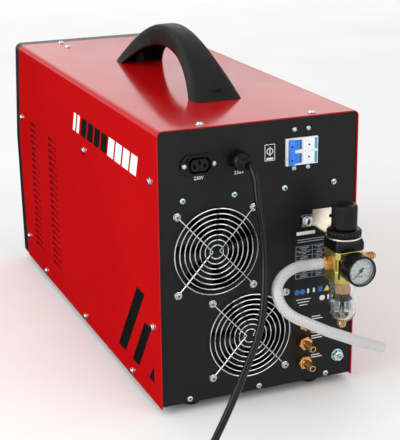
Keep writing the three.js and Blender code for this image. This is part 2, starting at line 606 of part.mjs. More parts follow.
// The mains cable hangs from its gland to the floor and runs on to its coil.
const cableRoute = [[31, GLAND.length + 0.8, 336], [30.9, 40.5, 335.5], [30.3, 47, 331.5], [29.8, 52.5, 323.5],
  [30.5, 57.5, 311], [31, 63, 295], [29.7, 70, 268], [29.8, 77, 240], [32.4, 85, 213], [37.2, 94, 189],
  [44, 103, 164], [55, 112, 140], [69, 120, 118], [83, 128, 98], [97, 135.5, 78], [112.5, 143, 57],
  [127.5, 150.5, 38.5], [141, 159, 23], [154, 169.5, 11.5], [166.5, 182, 5.6], [178.2, 194.8, 4.7]];
add('mains_cable', tube(cableRoute, CABLE.diameter, 8, 26), RUBBER);
const coilHalf = COIL.turnsApart;
const coilTop = COIL.layers * CABLE.diameter;
const coilSection = [[COIL.midRadius - coilHalf, 0.1], [COIL.midRadius + coilHalf, 0.1],
  [COIL.midRadius + coilHalf, coilTop], [COIL.midRadius - coilHalf, coilTop]];
add('mains_coil', band('z', coilSection, 28), RUBBER, [COIL.x, COIL.y, 0]);

function mainsPlug() {
  const grip = turned('x', [[0, 0], [5, 0], [6.6, 26], [11, 29], [14.5, 38], [18.2, 46], [18.2, 62], [0, 62]]);
  const pin = turned('x', [[0, 60], [2.4, 60], [2.4, 80], [1.4, 81], [0, 81]], 10);
  const pins = [-9.5, 9.5].map((y) => pin.clone().translate(0, y, 0));
  return join(grip, ...pins).rotateZ(Math.PI);
}
add('mains_plug', mainsPlug(), RUBBER, [COIL.x - 35, COIL.y + COIL.midRadius + coilHalf / 2, 18.4]);

// ---------------------------------------------------------------- front controls
function onFront(z) {
  const panel = new THREE.Group();
  const step = 1;
  panel.position.set(0, frontFace(z), z);
  panel.rotation.x = Math.atan2(frontFace(z - step) - frontFace(z + step), 2 * step);
  machine.add(panel);
  return panel;
}
const upperFront = onFront(KNOB.z);
const buttonFront = onFront(BUTTON_Z);
const lowerFront = onFront(TORCH.z);
const knob = [[0, 12], [4, 12], [4, -0.8], [17.5, -0.8], [17.5, -6], [15, -20], [13.5, -21.5], [0, -21.5]];
add('current_knob', turned('y', knob, 20), BLACK_PLASTIC, [KNOB.x, 0, 0], upperFront);
const display = block([DISPLAY.left, -3, -19], [DISPLAY.right, 8, 31]);
add('display_window', display, BLACK_PLASTIC, [0, 0, 0], upperFront);
const button = [[0, 10], [5, 10], [5, -3.6], [4.4, -4.4], [0, -4.4]];
add('mode_button', turned('y', button, 12), BLUE_PLASTIC, [0, 0, 0], buttonFront);
const torchSocket = [[0, 20], [13, 20], [13, -0.5], [19, -0.5], [19, -5], [15, -7], [15, -22], [9, -22], [9, 4],
  [0, 4]];
add('torch_connector', turned('y', torchSocket, 18), BRASS, [TORCH.x, 0, 0], lowerFront);
const clampSocket = [[0, 20], [11, 20], [11, -0.5], [17, -0.5], [17, -6], [14, -9], [7, -9], [7, 8], [0, 8]];
add('work_clamp_socket', turned('y', clampSocket, 18), BLACK_PLASTIC, [CLAMP.x, 0, 0], lowerFront);

// ---------------------------------------------------------------- inside
const deck = FLOOR_GAP + SHEET + GAP;

function powerTransformer() {
  const core = block([-35, -50, 0], [35, 50, 84]);
  const winding = block([-55, -26, 20], [55, 26, 64]);
  return join(core, winding);
}

function heatsink() {
  const fins = 9;
  const [width, base, height] = [104, 8, 62];
  const pitch = width / (fins - 0.5);
  const points = [[width, height], [width, height - base]];
  for (let i = fins - 1; i >= 0; i -= 1) {
    const left = i * pitch;
    const right = left + pitch / 2;
    if (i < fins - 1) points.push([right, height - base]);
    points.push([right, 0], [left, 0]);
    if (i > 0) points.push([left, height - base]);
  }
  points.push([0, height]);
  return plate(polygon(points), 0, 220);
}

function inverterBoard() {
  const board = block([-52, -108, 0], [52, 108, 1.6]);
  const devices = Array.from({ length: 6 }, (_, i) => {
    const [x, y] = [(i % 2) * 60 - 45, Math.floor(i / 2) * 70 - 90];
    return block([x, y, 1], [x + 30, y + 35, 18]);
  });
  return join(board, ...devices);
}

function controlBoard() {
  const board = block([-75, -90, 6], [75, 90, 7.6]);
  const posts = [[1, 1], [1, -1], [-1, 1], [-1, -1]].map(([x, y]) =>
    block([x * 68 - 3, y * 83 - 3, 0], [x * 68 + 3, y * 83 + 3, 7]));
  const parts = [[-40, -50], [10, -20], [30, 45], [-35, 40]].map(([x, y]) =>
    block([x - 12, y - 9, 7], [x + 12, y + 9, 20]));
  return join(board, ...posts, ...parts);
}

function solenoidValve() {
  const valve = block([-14, -16, -12], [14, 16, 12]);
  return join(valve, rod('z', 13, 11, 48, 14), rod('x', 6, -26, 26, 8));
}

add('power_transformer', powerTransformer(), COPPER, [-72, -120, deck]);
add('heatsink', heatsink(), ALUMINIUM, [-14, -110, deck]);
add('inverter_board', inverterBoard(), BOARD_GREEN, [38, -220, deck + 62 + GAP]);
const capacitor = turned('z', [[0, 0], [32, 0], [32, 92], [30, 95], [6, 95], [6, 101], [0, 101]], 16);
add('smoothing_capacitor', capacitor, BLACK_PLASTIC, [-78, -270, deck]);
const choke = band('z', [[16, 4], [20, 0], [40, 0], [46, 6], [46, 30], [40, 36], [20, 36], [16, 32]], 16);
add('output_choke', choke, COPPER, [-70, -400, deck]);
add('solenoid_valve', solenoidValve(), BRASS, [-90, -45, 190]);
add('control_board', controlBoard(), BOARD_GREEN, [0, -400, SHELF.z + SHEET + GAP]);

// ---------------------------------------------------------------- origin
// The origin goes under the middle of the machine, measured without its cords.
const CORDS = ['air_hose', 'mains_cable', 'mains_coil', 'mains_plug'];
const extent = new THREE.Box3();
plasmaCutter.updateMatrixWorld(true);
plasmaCutter.traverse((node) => {
  if (node.isMesh && !CORDS.includes(node.name)) extent.expandByObject(node, true);
});
const middle = extent.getCenter(new THREE.Vector3());
machine.position.set(-middle.x, -middle.y, -extent.min.z);

export default plasmaCutter;
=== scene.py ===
import math

import bmesh
import bpy
from mathutils import Matrix, Vector


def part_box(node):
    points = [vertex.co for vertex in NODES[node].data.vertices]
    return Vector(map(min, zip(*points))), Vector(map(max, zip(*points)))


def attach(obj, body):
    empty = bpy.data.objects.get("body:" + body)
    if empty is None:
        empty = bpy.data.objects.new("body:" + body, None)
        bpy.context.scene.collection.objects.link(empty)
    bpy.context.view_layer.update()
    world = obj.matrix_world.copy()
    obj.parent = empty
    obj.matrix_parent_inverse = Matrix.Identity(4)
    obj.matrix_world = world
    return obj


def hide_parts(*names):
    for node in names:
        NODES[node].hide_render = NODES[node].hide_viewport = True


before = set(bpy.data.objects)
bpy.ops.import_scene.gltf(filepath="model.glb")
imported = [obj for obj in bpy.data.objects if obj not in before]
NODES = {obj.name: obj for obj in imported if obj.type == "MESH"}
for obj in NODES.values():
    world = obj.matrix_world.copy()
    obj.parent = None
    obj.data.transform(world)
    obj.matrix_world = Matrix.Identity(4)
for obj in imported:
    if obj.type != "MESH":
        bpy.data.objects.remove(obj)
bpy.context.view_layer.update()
REAR_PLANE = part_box("rear_panel")[1].y
MM = 0.001


def spot(point):
    """A point of the machine's own frame in the shared frame."""
    return Vector((point[0] * MM, REAR_PLANE + point[1] * MM, point[2] * MM))


def node_box(name):
    """A CAD node's corners in millimetres in the machine's own frame."""
    low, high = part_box(name)
    return [[c[0] / MM, (c[1] - REAR_PLANE) / MM, c[2] / MM] for c in (low, high)]


# ---------------------------------------------------------------- shapes
# Each maps (a, b, along) to a point: a and b lie across the axis.
AXES = {
    "x": lambda a, b, c: (c, a, b),
    "y": lambda a, b, c: (a, c, b),
    "z": lambda a, b, c: (a, b, c),
}


class Shell:
    """Vertices and faces of one piece, made of closed bodies about its centre and along its axis."""

    def __init__(self, centre=(0, 0, 0), axis="z"):
        self.points, self.faces = [], []
        self.centre, self.axis = centre, axis

    def add(self, points, faces, centre=None, axis=None, turn=0.0):
        centre, axis = centre or self.centre, axis or self.axis
        base = len(self.points)
        c, s = math.cos(math.radians(turn)), math.sin(math.radians(turn))
        for a, b, along in points:
            x, y, z = AXES[axis](a * c - b * s, a * s + b * c, along)
            self.points.append((x + centre[0], y + centre[1], z + centre[2]))
        self.faces += [[base + i for i in face] for face in faces]
        return self

    def loft(self, rings, closed=False, **place):
        """Rings with the same number of points, joined in order and capped, or joined end to end."""
        n, m = len(rings[0]), len(rings)
        faces = []
        for r in range(m if closed else m - 1):
            for i in range(n):
                j, q = (i + 1) % n, (r + 1) % m
                faces.append([r * n + i, r * n + j, q * n + j, q * n + i])
        if not closed:
            faces += [list(range(n))[::-1], [(m - 1) * n + i for i in range(n)]]
        return self.add([p for ring in rings for p in ring], faces, **place)

    def turned(self, profile, sides=40, closed=False, **place):
        """A body of revolution from (radius, along) points, capped at its ends or closed on itself."""
        return self.stack([(circle(r, sides), along) for r, along in profile], closed, **place)

    def stack(self, levels, closed=False, **place):
        """Outlines, each at its level along the axis, joined in order."""
        return self.loft([[(a, b, level) for a, b in outline] for outline, level in levels], closed,
                **place)

    def prism(self, outline, low, high, **place):
        return self.stack([(outline, low), (outline, high)], **place)

    def wire(self, path, radius, sides):
        """A round wire along a path of the machine's own points."""
        return self.loft(sweep(path, radius, sides), centre=(0, 0, 0), axis="z")


def angles(n, start=0.0, end=360.0, whole=True):
    """n angles in radians round a circle, or with whole=False from start to end."""
    step = (end - start) / (n if whole else n - 1)
    return [math.radians(start + i * step) for i in range(n)]


def sweep(path, radius, sides):
    """Rings of points across a path, turned as little as possible from one to the next."""
    line = [Vector(p) for p in path]
    normal, rings = None, []
    for i, point in enumerate(line):
        tangent = (line[min(i + 1, len(line) - 1)] - line[max(i - 1, 0)]).normalized()
        if normal is None:
            normal = tangent.orthogonal()
        normal = (normal - tangent * normal.dot(tangent)).normalized()
        across = tangent.cross(normal)
        ring = [normal * math.cos(t) + across * math.sin(t) for t in angles(sides)]
        rings.append([tuple(point + radius * out) for out in ring])
    return rings


def circle(radius, sides=40, start=0.0, centre=(0, 0)):
    """Points round a circle from an angle in degrees."""
    turns = angles(sides, start, start + 360)
    return [(centre[0] + radius * math.cos(t), centre[1] + radius * math.sin(t)) for t in turns]


def hexagon(radius, turn=0.0):
    return circle(radius, 6, turn)


def rounded(width, height, corner, centre=(0, 0), steps=5):
    """A rectangle with round corners."""
    w, h = width / 2 - corner, height / 2 - corner
    points = []
    for quarter, (x, y) in enumerate([(w, h), (-w, h), (-w, -h), (w, -h)]):
        for t in angles(steps + 1, quarter * 90, quarter * 90 + 90, whole=False):
            points.append((centre[0] + x + corner * math.cos(t), centre[1] + y + corner * math.sin(t)))
    return points


def smooth_line(points, steps=8):
    """A Catmull-Rom line through points, with centripetal spacing."""
    line = [Vector(p) for p in points]
    ends = [2 * line[0] - line[1], *line, 2 * line[-1] - line[-2]]
    out = []
    for p0, p1, p2, p3 in zip(ends, ends[1:], ends[2:], ends[3:]):
        t1 = (p1 - p0).length ** 0.5
        t2 = t1 + (p2 - p1).length ** 0.5
        t3 = t2 + (p3 - p2).length ** 0.5
        for k in range(steps):
            t = t1 + (t2 - t1) * k / steps
            a1 = p0.lerp(p1, t / t1)
            a2 = p1.lerp(p2, (t - t1) / (t2 - t1))
            a3 = p2.lerp(p3, (t - t2) / (t3 - t2))
            b1 = a1.lerp(a2, t / t2)
            b2 = a2.lerp(a3, (t - t1) / (t3 - t1))
            out.append(tuple(b1.lerp(b2, (t - t1) / (t2 - t1))))
    return [*out, tuple(line[-1])]


# ---------------------------------------------------------------- materials
def rgb(hexadecimal):
    """A colour as linear RGBA from its usual hexadecimal form."""
    parts = [int(hexadecimal[i:i + 2], 16) / 255 for i in (0, 2, 4)]
    return [*(c / 12.92 if c <= 0.04045 else ((c + 0.055) / 1.055) ** 2.4 for c in parts), 1.0]


class Finish:
    """A procedural material. Its textures lie in the piece's own coordinates, in metres."""

    def __init__(self, name, metallic=0.0, **constants):
        self.material = bpy.data.materials.new(name)
        self.material.use_nodes = True
        self.tree = self.material.node_tree
        self.shader = self.tree.nodes["Principled BSDF"]
        self.shader.inputs["Metallic"].default_value = metallic
        for socket, value in constants.items():
            self.shader.inputs[socket.replace("_", " ")].default_value = value
        self.where = self.node("ShaderNodeTexCoord").outputs["Object"]

    def node(self, kind, values=(), **settings):
        """A shader node with its settings, and its sockets' values by name."""
        made = self.tree.nodes.new(kind)
        for key, value in settings.items():
            setattr(made, key, value)
        for socket, value in dict(values).items():
            made.inputs[socket].default_value = value
        return made

    def link(self, source, target):
        self.tree.links.new(source, target)

    def texture(self, kind, output, values, where=None, **settings):
        """One value of a texture that lies in the piece's own coordinates."""
        made = self.node(kind, values, **settings)
        self.link(where or self.where, made.inputs["Vector"])
        return made.outputs[output]

    def noise(self, size, detail=3.0, stretch=None):
        """Soft noise whose features are about size millimetres wide."""
        where = None
        if stretch:
            where = self.texture("ShaderNodeMapping", "Vector", {"Scale": stretch})
        return self.texture("ShaderNodeTexNoise", "Fac", {"Scale": 1 / (size * MM), "Detail": detail},
                where)

    def cells(self, size):
        return self.texture("ShaderNodeTexVoronoi", "Distance", {"Scale": 1 / (size * MM)})

    def bands(self, size, direction):
        return self.texture("ShaderNodeTexWave", "Fac", {"Scale": 0.314 / (size * MM)},
                bands_direction=direction)

    def maths(self, operation, first, second):
        made = self.node("ShaderNodeMath", operation=operation)
        for socket, value in zip(made.inputs, (first, second)):
            if isinstance(value, (int, float)):
                socket.default_value = value
            else:
                self.link(value, socket)
        return made.outputs[0]

    def colour(self, factor, *stops, socket="Base Color"):
        """Colours at their places along a factor from 0 to 1."""
        ramp = self.node("ShaderNodeValToRGB")
        while len(ramp.color_ramp.elements) < len(stops):
            ramp.color_ramp.elements.new(0.5)
        for element, (place, colour) in zip(ramp.color_ramp.elements, stops):
            element.position, element.color = place, rgb(colour)
        self.link(factor, ramp.inputs["Fac"])
        self.link(ramp.outputs["Color"], self.shader.inputs[socket])
        return self

    def spread(self, factor, low, high, socket="Roughness"):
        ranged = self.node("ShaderNodeMapRange", {"From Min": 0.3, "From Max": 0.7, "To Min": low,
                "To Max": high})
        self.link(factor, ranged.inputs["Value"])
        self.link(ranged.outputs["Result"], self.shader.inputs[socket])
        return self

    def relief(self, factor, depth):
        """Bumps of a depth in millimetres."""
        bump = self.node("ShaderNodeBump", {"Distance": depth * MM})
        self.link(factor, bump.inputs["Height"])
        self.link(bump.outputs["Normal"], self.shader.inputs["Normal"])
        return self


def coated(name, dark, light, rough, grain=1.2, depth=0.02, **constants):
    """Paint, powder coat or moulded plastic: a soft change of colour, a fine grain and uneven gloss."""
    finish = Finish(name, **constants)
    finish.colour(finish.noise(38), (0.3, dark), (0.7, light))
    finish.spread(finish.noise(6), *rough)
    return finish.relief(finish.noise(grain, 2.0), depth).material


def metal(name, dark, light, rough, stretch=(1, 1, 14), depth=0.006, **constants):
    """Metal with a drawn or brushed grain along one axis and a faint change of tone."""
    finish = Finish(name, metallic=1.0, **constants)
    finish.colour(finish.noise(5), (0.3, dark), (0.7, light))
    brushed = finish.noise(2.5, 4.0, stretch)
    finish.spread(brushed, *rough)
    return finish.relief(brushed, depth).material


def red_paint():
    finish = Finish("red_paint", Specular_IOR_Level=0.18)
    finish.colour(finish.noise(160), (0.3, "b00b0f"), (0.7, "b80e12"))
    finish.spread(finish.noise(60), 0.1, 0.15)
    return finish.relief(finish.noise(9, 1.0), 0.004).material


def sintered_bronze():
    finish = Finish("sintered_bronze", metallic=0.25)
    grains = finish.cells(0.7)
    finish.colour(grains, (0.0, "ffd2a0"), (0.7, "e8a468"))
    finish.spread(finish.noise(2), 0.6, 0.8)
    return finish.relief(grains, -0.12).material


def clear_plastic():
    finish = Finish("clear_plastic", Transmission_Weight=1.0, IOR=1.46)
    finish.colour(finish.noise(20), (0.3, "eef2f2"), (0.7, "f6fafa"))
    finish.spread(finish.noise(4), 0.02, 0.07)
    return finish.relief(finish.noise(9, 1.0), 0.02).material


def braided_hose():
    """Milky hose: fine threads wind round it both ways, from the piece's own around and along values."""
    finish = Finish("braided_hose", Transmission_Weight=0.35, IOR=1.4, Coat_Weight=0.5, Coat_Roughness=0.06)
    around = finish.node("ShaderNodeAttribute", attribute_name="around").outputs["Fac"]
    along = finish.node("ShaderNodeAttribute", attribute_name="along").outputs["Fac"]
    threads = []
    for sign in (-1, 1):
        phase = finish.maths("ADD", finish.maths("MULTIPLY", around, 7.0),
                finish.maths("MULTIPLY", along, sign * 200.0))
        wave = finish.maths("SINE", finish.maths("MULTIPLY", phase, 2 * math.pi), 0.0)
        threads.append(wave)
    weave = finish.maths("MAXIMUM", *threads)
    finish.colour(weave, (0.6, "d6d7d6"), (0.98, "e6e7e6"))
    finish.spread(finish.noise(8), 0.16, 0.22)
    return finish.relief(weave, 0.006).material


def copper_winding():
    finish = Finish("copper_winding", metallic=0.6)
    turns = finish.bands(1.6, "Z")
    finish.colour(turns, (0.0, "5a2410"), (1.0, "c87040"))
    finish.spread(finish.noise(3), 0.3, 0.45)
    return finish.relief(turns, 0.5).material


def circuit_board():
    finish = Finish("circuit_board", Coat_Weight=0.4)
    finish.colour(finish.cells(5), (0.05, "c8b070"), (0.09, "12442a"), (0.8, "1f6a40"))
    finish.spread(finish.noise(2), 0.35, 0.5)
    return finish.relief(finish.cells(5), 0.1).material


MATERIALS = {
    "red": red_paint(),
    "panel": coated("powder_black", "101011", "161617", (0.36, 0.46), 0.7, 0.04, Specular_IOR_Level=0.2),
    "case": coated("case_black", "161719", "1f2022", (0.34, 0.46), 0.9, 0.03, Specular_IOR_Level=0.3),
    "plastic": coated("moulded_black", "080809", "0f0f10", (0.26, 0.36), 0.8, 0.03,
                      Specular_IOR_Level=0.2),
    "handle": coated("handle_black", "0d0d0e", "141415", (0.42, 0.52), 1.4, 0.05, Specular_IOR_Level=0.2),
    "rubber": coated("rubber_black", "0c0c0d", "151516", (0.5, 0.62), 1.1, 0.04, Specular_IOR_Level=0.25),
    "sheath": coated("cable_sheath", "040405", "09090a", (0.14, 0.2), 1.8, 0.006,
                     Specular_IOR_Level=0.25),
    "white": coated("breaker_white", "e6e9eb", "f4f6f7", (0.3, 0.42), 1.0, 0.01),
    "blue": coated("toggle_blue", "0a62d6", "1a86f4", (0.22, 0.34), 1.0, 0.01, Coat_Weight=0.3),
    "teal": coated("label_teal", "1590b4", "28a6c8", (0.3, 0.4), 1.0, 0.004),
    "print": coated("print_white", "e2e5e7", "f2f4f5", (0.4, 0.55), 0.8, 0.006),
    "grey_print": coated("print_grey", "9298a2", "b0b6be", (0.4, 0.55), 0.8, 0.006),
    "plate": coated("label_black", "101114", "18191e", (0.3, 0.42), 1.2, 0.006, Specular_IOR_Level=0.25),
    "decal": coated("decal_black", "0e0f10", "161718", (0.3, 0.4), 1.2, 0.006, Specular_IOR_Level=0.25),
    "yellow": coated("label_yellow", "e2c21e", "f0d438", (0.35, 0.45), 1.0, 0.005),
    "label_blue": coated("label_blue", "1f5aa0", "2f70b8", (0.35, 0.45), 1.0, 0.005),
    # Near black: painted shade for screw recesses, bores, slots and recesses in the casting, and the real
    # black of the gauge pointer and small dots
    "dark": coated("painted_shade_and_black", "050506", "0b0b0c", (0.7, 0.85), 2.0, 0.02),
    # Dark red: painted shade for the louvres' end walls, darker than the cover's own red
    "end_wall_shade": coated("louvre_painted_shade_red", "5a0508", "76070c", (0.4, 0.55), 2.0, 0.02),
    "drain": metal("drain_brass", "96805a", "d2bc90", (0.14, 0.26), (6, 6, 1)),
    "display": coated("display_dark", "07080a", "0e1013", (0.05, 0.1), 6.0, 0.002, Coat_Weight=0.8),
    "digits": coated("display_red", "5a1210", "7c1a16", (0.3, 0.4), 1.0, 0.004),
    "zinc": metal("zinc_plate", "a4b0b8", "ccd6dc", (0.2, 0.34)),
    "blue_zinc": metal("blue_zinc", "a4c6ce", "dceef2", (0.18, 0.3)),
    "chrome": metal("chrome_wire", "c8cccf", "eceff1", (0.08, 0.18), depth=0.003),
    "rivet": metal("rivet_grey", "b4b8ba", "d2d5d6", (0.3, 0.42)),
    "nickel": metal("nickel_plate", "e8e2d4", "f2ede0", (0.3, 0.34), (1, 9, 1), 0.0006),
    "brass": metal("brass_fitting", "c98d4c", "f2c486", (0.16, 0.28), (6, 1, 6)),
    "gilt": coated("gilt_casting", "a89a4a", "dccd7c", (0.22, 0.36), 0.9, 0.04, metallic=0.85),
    "aluminium": metal("heatsink_aluminium", "9a9ea2", "c0c4c6", (0.3, 0.45), (1, 14, 1)),
    "bronze": sintered_bronze(),
    "clear": clear_plastic(),
    "hose": braided_hose(),
    "copper": copper_winding(),
    "board": circuit_board(),
    "dial": coated("dial_face", "f0f1f6", "fafbfd", (0.25, 0.35), 0.5, 0.004),
}


# ---------------------------------------------------------------- pieces
def soften(obj, bevel, segments=2, limit=32, weld=False):
    """Rounds an object's hard edges with a bevel in millimetres."""
    if weld:
        merge = obj.modifiers.new("weld", "WELD")
        merge.merge_threshold = 0.00002
    edge = obj.modifiers.new("bevel", "BEVEL")
    edge.width = bevel * MM
    edge.segments = segments
    edge.limit_method = "ANGLE"
    edge.angle_limit = math.radians(limit)
    edge.harden_normals = True
    edge.use_clamp_overlap = True


def piece(name, shell, finish, body="machine", replaces=(), bevel=0.0, sharp=32):
    """A mesh object from a shell, riding on a body."""
    mesh = bpy.data.meshes.new(name)
    mesh.from_pydata([spot(p) for p in shell.points], [], shell.faces)
    work = bmesh.new()
    work.from_mesh(mesh)
    bmesh.ops.recalc_face_normals(work, faces=work.faces)
    work.to_mesh(mesh)
    work.free()
    mesh.shade_smooth()
    mesh.set_sharp_from_angle(angle=math.radians(sharp))
    mesh.materials.append(MATERIALS[finish])
    obj = bpy.data.objects.new(name, mesh)
    bpy.context.scene.collection.objects.link(obj)
    if bevel:
        soften(obj, bevel, limit=sharp)
    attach(obj, body)
    if replaces:
        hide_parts(*replaces)
    return obj


def dress(name, finish, bevel=0.0, segments=2):
    """Gives a CAD node its material and softens its edges."""
    obj = NODES[name]
    mesh = obj.data
    mesh.materials.clear()
    mesh.materials.append(MATERIALS[finish])
    if "custom_normal" in mesh.attributes:
        mesh.attributes.remove(mesh.attributes["custom_normal"])
    mesh.shade_smooth()
    if bevel:
        soften(obj, bevel, segments, weld=True)
    return obj


# ---------------------------------------------------------------- camera, floor and light
EYE = (0.64875, 1.68215, 0.752)
AIM = {"yaw": 22.25, "pitch": -18.12, "roll": -0.62, "lens": 102.54}


def make_camera():
    yaw, pitch, roll = (math.radians(AIM[k]) for k in ("yaw", "pitch", "roll"))
    forward = Vector((-math.sin(yaw) * math.cos(pitch), -math.cos(yaw) * math.cos(pitch), math.sin(pitch)))
    right = Vector((-math.cos(yaw), math.sin(yaw), 0))
    up = right.cross(forward)
    across = math.cos(roll) * right + math.sin(roll) * up
    upright = math.cos(roll) * up - math.sin(roll) * right
    data = bpy.data.cameras.new("camera")
    data.lens = AIM["lens"]
    data.sensor_width = 36
    camera = bpy.data.objects.new("camera", data)
    turn = Matrix((across, upright, -forward)).transposed()
    camera.matrix_world = Matrix.Translation(EYE) @ turn.to_4x4()
    bpy.context.scene.collection.objects.link(camera)
    bpy.context.scene.camera = camera


def stage_card(name, finish, low, high, height=0.0):
    """A flat card of the stage, from one corner to the other."""
    (x0, y0), (x1, y1) = low, high
    mesh = bpy.data.meshes.new(name)
    mesh.from_pydata([(x0, y0, height), (x1, y0, height), (x1, y1, height), (x0, y1, height)], [],
            [(0, 1, 2, 3)])
    mesh.materials.append(finish.material)
    card = bpy.data.objects.new(name, mesh)
    bpy.context.scene.collection.objects.link(card)
    return card


def make_floor():
    finish = Finish("pale_floor", Specular_IOR_Level=0.2)
    finish.colour(finish.noise(300), (0.3, "f4f4f4"), (0.7, "f8f8f8"))
    finish.spread(finish.noise(20), 0.7, 0.8)
    stage_card("floor", finish, (-30, -30), (30, 30))


def area_light(name, place, aim, size, power):
    data = bpy.data.lights.new(name, "AREA")
    data.shape, data.size, data.size_y = "RECTANGLE", *size
    data.energy = power
    lamp = bpy.data.objects.new(name, data)
    lamp.location = place
    lamp.rotation_euler = (Vector(aim) - Vector(place)).to_track_quat("-Z", "Y").to_euler()
    bpy.context.scene.collection.objects.link(lamp)


def make_flag():
    """A black card low beside the machine, seen by reflections only: it keeps the floor out of the side."""
    finish = Finish("black_flag", Specular_IOR_Level=0.0)
    finish.colour(finish.noise(300), (0.3, "020202"), (0.7, "040404"))
    finish.spread(finish.noise(300), 0.9, 1.0)
    flag = stage_card("flag", finish, (0.143, -4), (2.6, 0.28), 0.002)
    for seen in ("camera", "diffuse", "transmission", "shadow"):
        setattr(flag, f"visible_{seen}", False)


def make_light():
    bpy.context.scene.view_settings.view_transform = "Standard"
    world = bpy.data.worlds.new("studio")
    world.use_nodes = True
    background = world.node_tree.nodes["Background"].inputs
    background["Color"].default_value = (1, 1, 1, 1)
    background["Strength"].default_value = 0.74
    bpy.context.scene.world = world
    centre = (0, 0, 0.2)
    area_light("overhead", (0.4, 0.2, 2.4), centre, (2.2, 2.2), 3)
    area_light("side", (3.0, 0.6, 1.5), centre, (3.2, 2.6), 76)
    area_light("rear", (-0.9, 3.0, 1.6), centre, (2.6, 2.4), 24)
    area_light("backdrop", (-1.7, -4.2, 2.0), (-1.4, -2.6, 0.0), (4.5, 2.4), 28)


# ---------------------------------------------------------------- cords
CABLE = 9.2
HOSE = {"outer": 14.0, "inner": 9.6, "sides": 28}
CABLE_ROUTE = [(31, 34.8, 336), (30.9, 40.5, 335.5), (30.3, 47, 331.5), (29.8, 52.5, 323.5),
    (30.5, 57.5, 311), (31, 63, 295), (29.7, 70, 268), (29.8, 77, 240), (32.4, 85, 213), (37.2, 94, 189),
    (44, 103, 164), (55, 112, 140), (69, 120, 118), (83, 128, 98), (97, 135.5, 78), (112.5, 143, 57),
    (127.5, 150.5, 38.5), (141, 159, 23), (154, 169.5, 11.5), (166.5, 182, 5.6), (178.2, 194.8, 4.7)]
HOSE_ROUTE = [(-61, 58, 203), (-52, 58, 203), (-43.4, 58, 203), (-38, 58.4, 203.3), (-29, 62, 205),
    (-12, 70, 206), (6, 80, 202), (17, 89, 194), (20, 97, 183), (16, 104, 171), (5, 110, 160),
    (-11, 115, 151.5), (-37, 119, 137.5), (-57, 119.5, 128), (-77, 118, 118), (-99, 115.5, 108),
    (-120.5, 112, 97.6)]
COIL = {"centre": (159.3, 255.0), "outer": 54.6, "inner": 45.4, "floor": 4.7, "entry": -41.3, "leave": 90.0}
# Where the coil changes column or layer, in degrees wound since its entry. Each change lies before the last
# one round the coil, so that no turn crosses another.
STEPS = {"in": (255, 345), "up": (545, 615), "out": (855, 945), "over": (1125, 1215),
    "out_again": (1390, 1480)}
HUMP = {"from": 1475, "high": 3.5}


def ease(angle, window):
    """From 0 before a window of angles to 1 after it, smoothly."""
    t = min(1.0, max(0.0, (angle - window[0]) / (window[1] - window[0])))
    return t * t * (3 - 2 * t)


def coil_turns():
    """Points round the coil, sixteen to a turn."""
    total = 4 * 360 + COIL["leave"] - COIL["entry"]
    count = round(total / 22.5)
    points = []
    for i in range(count + 1):
        wound = total * i / count
        rise = math.pi / 2 * ease(wound, STEPS["over"])
        sideways = 1 - ease(wound, STEPS["in"]) + ease(wound, STEPS["out"]) + ease(wound,
                STEPS["out_again"])
        radius = COIL["inner"] + CABLE * (sideways - (1 - math.cos(rise)))
        high = COIL["floor"] + CABLE * (ease(wound, STEPS["up"]) + math.sin(rise))
        high += HUMP["high"] * math.sin(math.pi * ease(wound, (HUMP["from"], total)))
        theta = math.radians(COIL["entry"] + wound)
        x, y = COIL["centre"]
        points.append((x + radius * math.cos(theta), y + radius * math.sin(theta), high))
    return points


def mains_plug():
    """Moulded two-pin plug with its ribbed strain relief; it lies on its side against the coil."""
    low, high = node_box("mains_plug")
    root, y, z = high[0], (low[1] + high[1]) / 2, (low[2] + high[2]) / 2
    shell = Shell()
    grip = [(4.8, 0), (5.4, 1)]
    for rib in range(7):
        start = 2 + rib * 3.4
        wide = 6.2 + rib * 0.22
        grip += [(wide, start), (wide, start + 2), (wide - 0.9, start + 2.4), (wide - 0.9, start + 3)]
    grip += [(7.6, 26), (11, 29.5), (14.5, 38), (17.6, 45), (18.2, 48), (18.2, 60.5), (17.4, 62)]
    shell.turned([(r, -along) for r, along in grip], 48, centre=(root, y, z), axis="x")
    for side in (-1, 1):
        shell.add(*block((-58, 15.5 * side - 1.2, -9), (-48, 15.5 * side + 1.2, 9)), centre=(root, y, z))
    body = piece("plug_body", shell, "rubber", bevel=0.5)
    pins = Shell()
    for side in (-9.5, 9.5):
        pins.turned([(2.4, -61), (2.4, -79), (1.9, -80.6), (0.9, -81)], 24, centre=(root, y + side, z),
                axis="x")
    prongs = piece("plug_pins", pins, "nickel")
    prongs.parent = body
    prongs.matrix_parent_inverse = body.matrix_world.inverted()
    return body, prongs


def block(low, high):
    """A box's points and faces, for small members of a piece that is bevelled as a whole."""
    points = [(x, y, z) for z in (low[2], high[2]) for y in (low[1], high[1]) for x in (low[0], high[0])]
    return points, [[0, 2, 3, 1], [4, 5, 7, 6], [0, 1, 5, 4], [2, 6, 7, 3], [0, 4, 6, 2], [1, 3, 7, 5]]


def cord_curve(name, points, diameter, finish):
    """A round cord on one smooth spline through points."""
    data = bpy.data.curves.new(name, "CURVE")
    data.dimensions = "3D"
    data.bevel_depth = diameter / 2 * MM
    data.bevel_resolution = 5
    data.resolution_u = 8
    data.use_fill_caps = True
    spline = data.splines.new("BEZIER")
    spline.bezier_points.add(len(points) - 1)
    for knot, point in zip(spline.bezier_points, points):
        knot.co = spot(point)
        knot.handle_left_type = knot.handle_right_type = "AUTO"
    data.materials.append(MATERIALS[finish])
    cord = bpy.data.objects.new(name, data)
    bpy.context.scene.collection.objects.link(cord)
    return cord


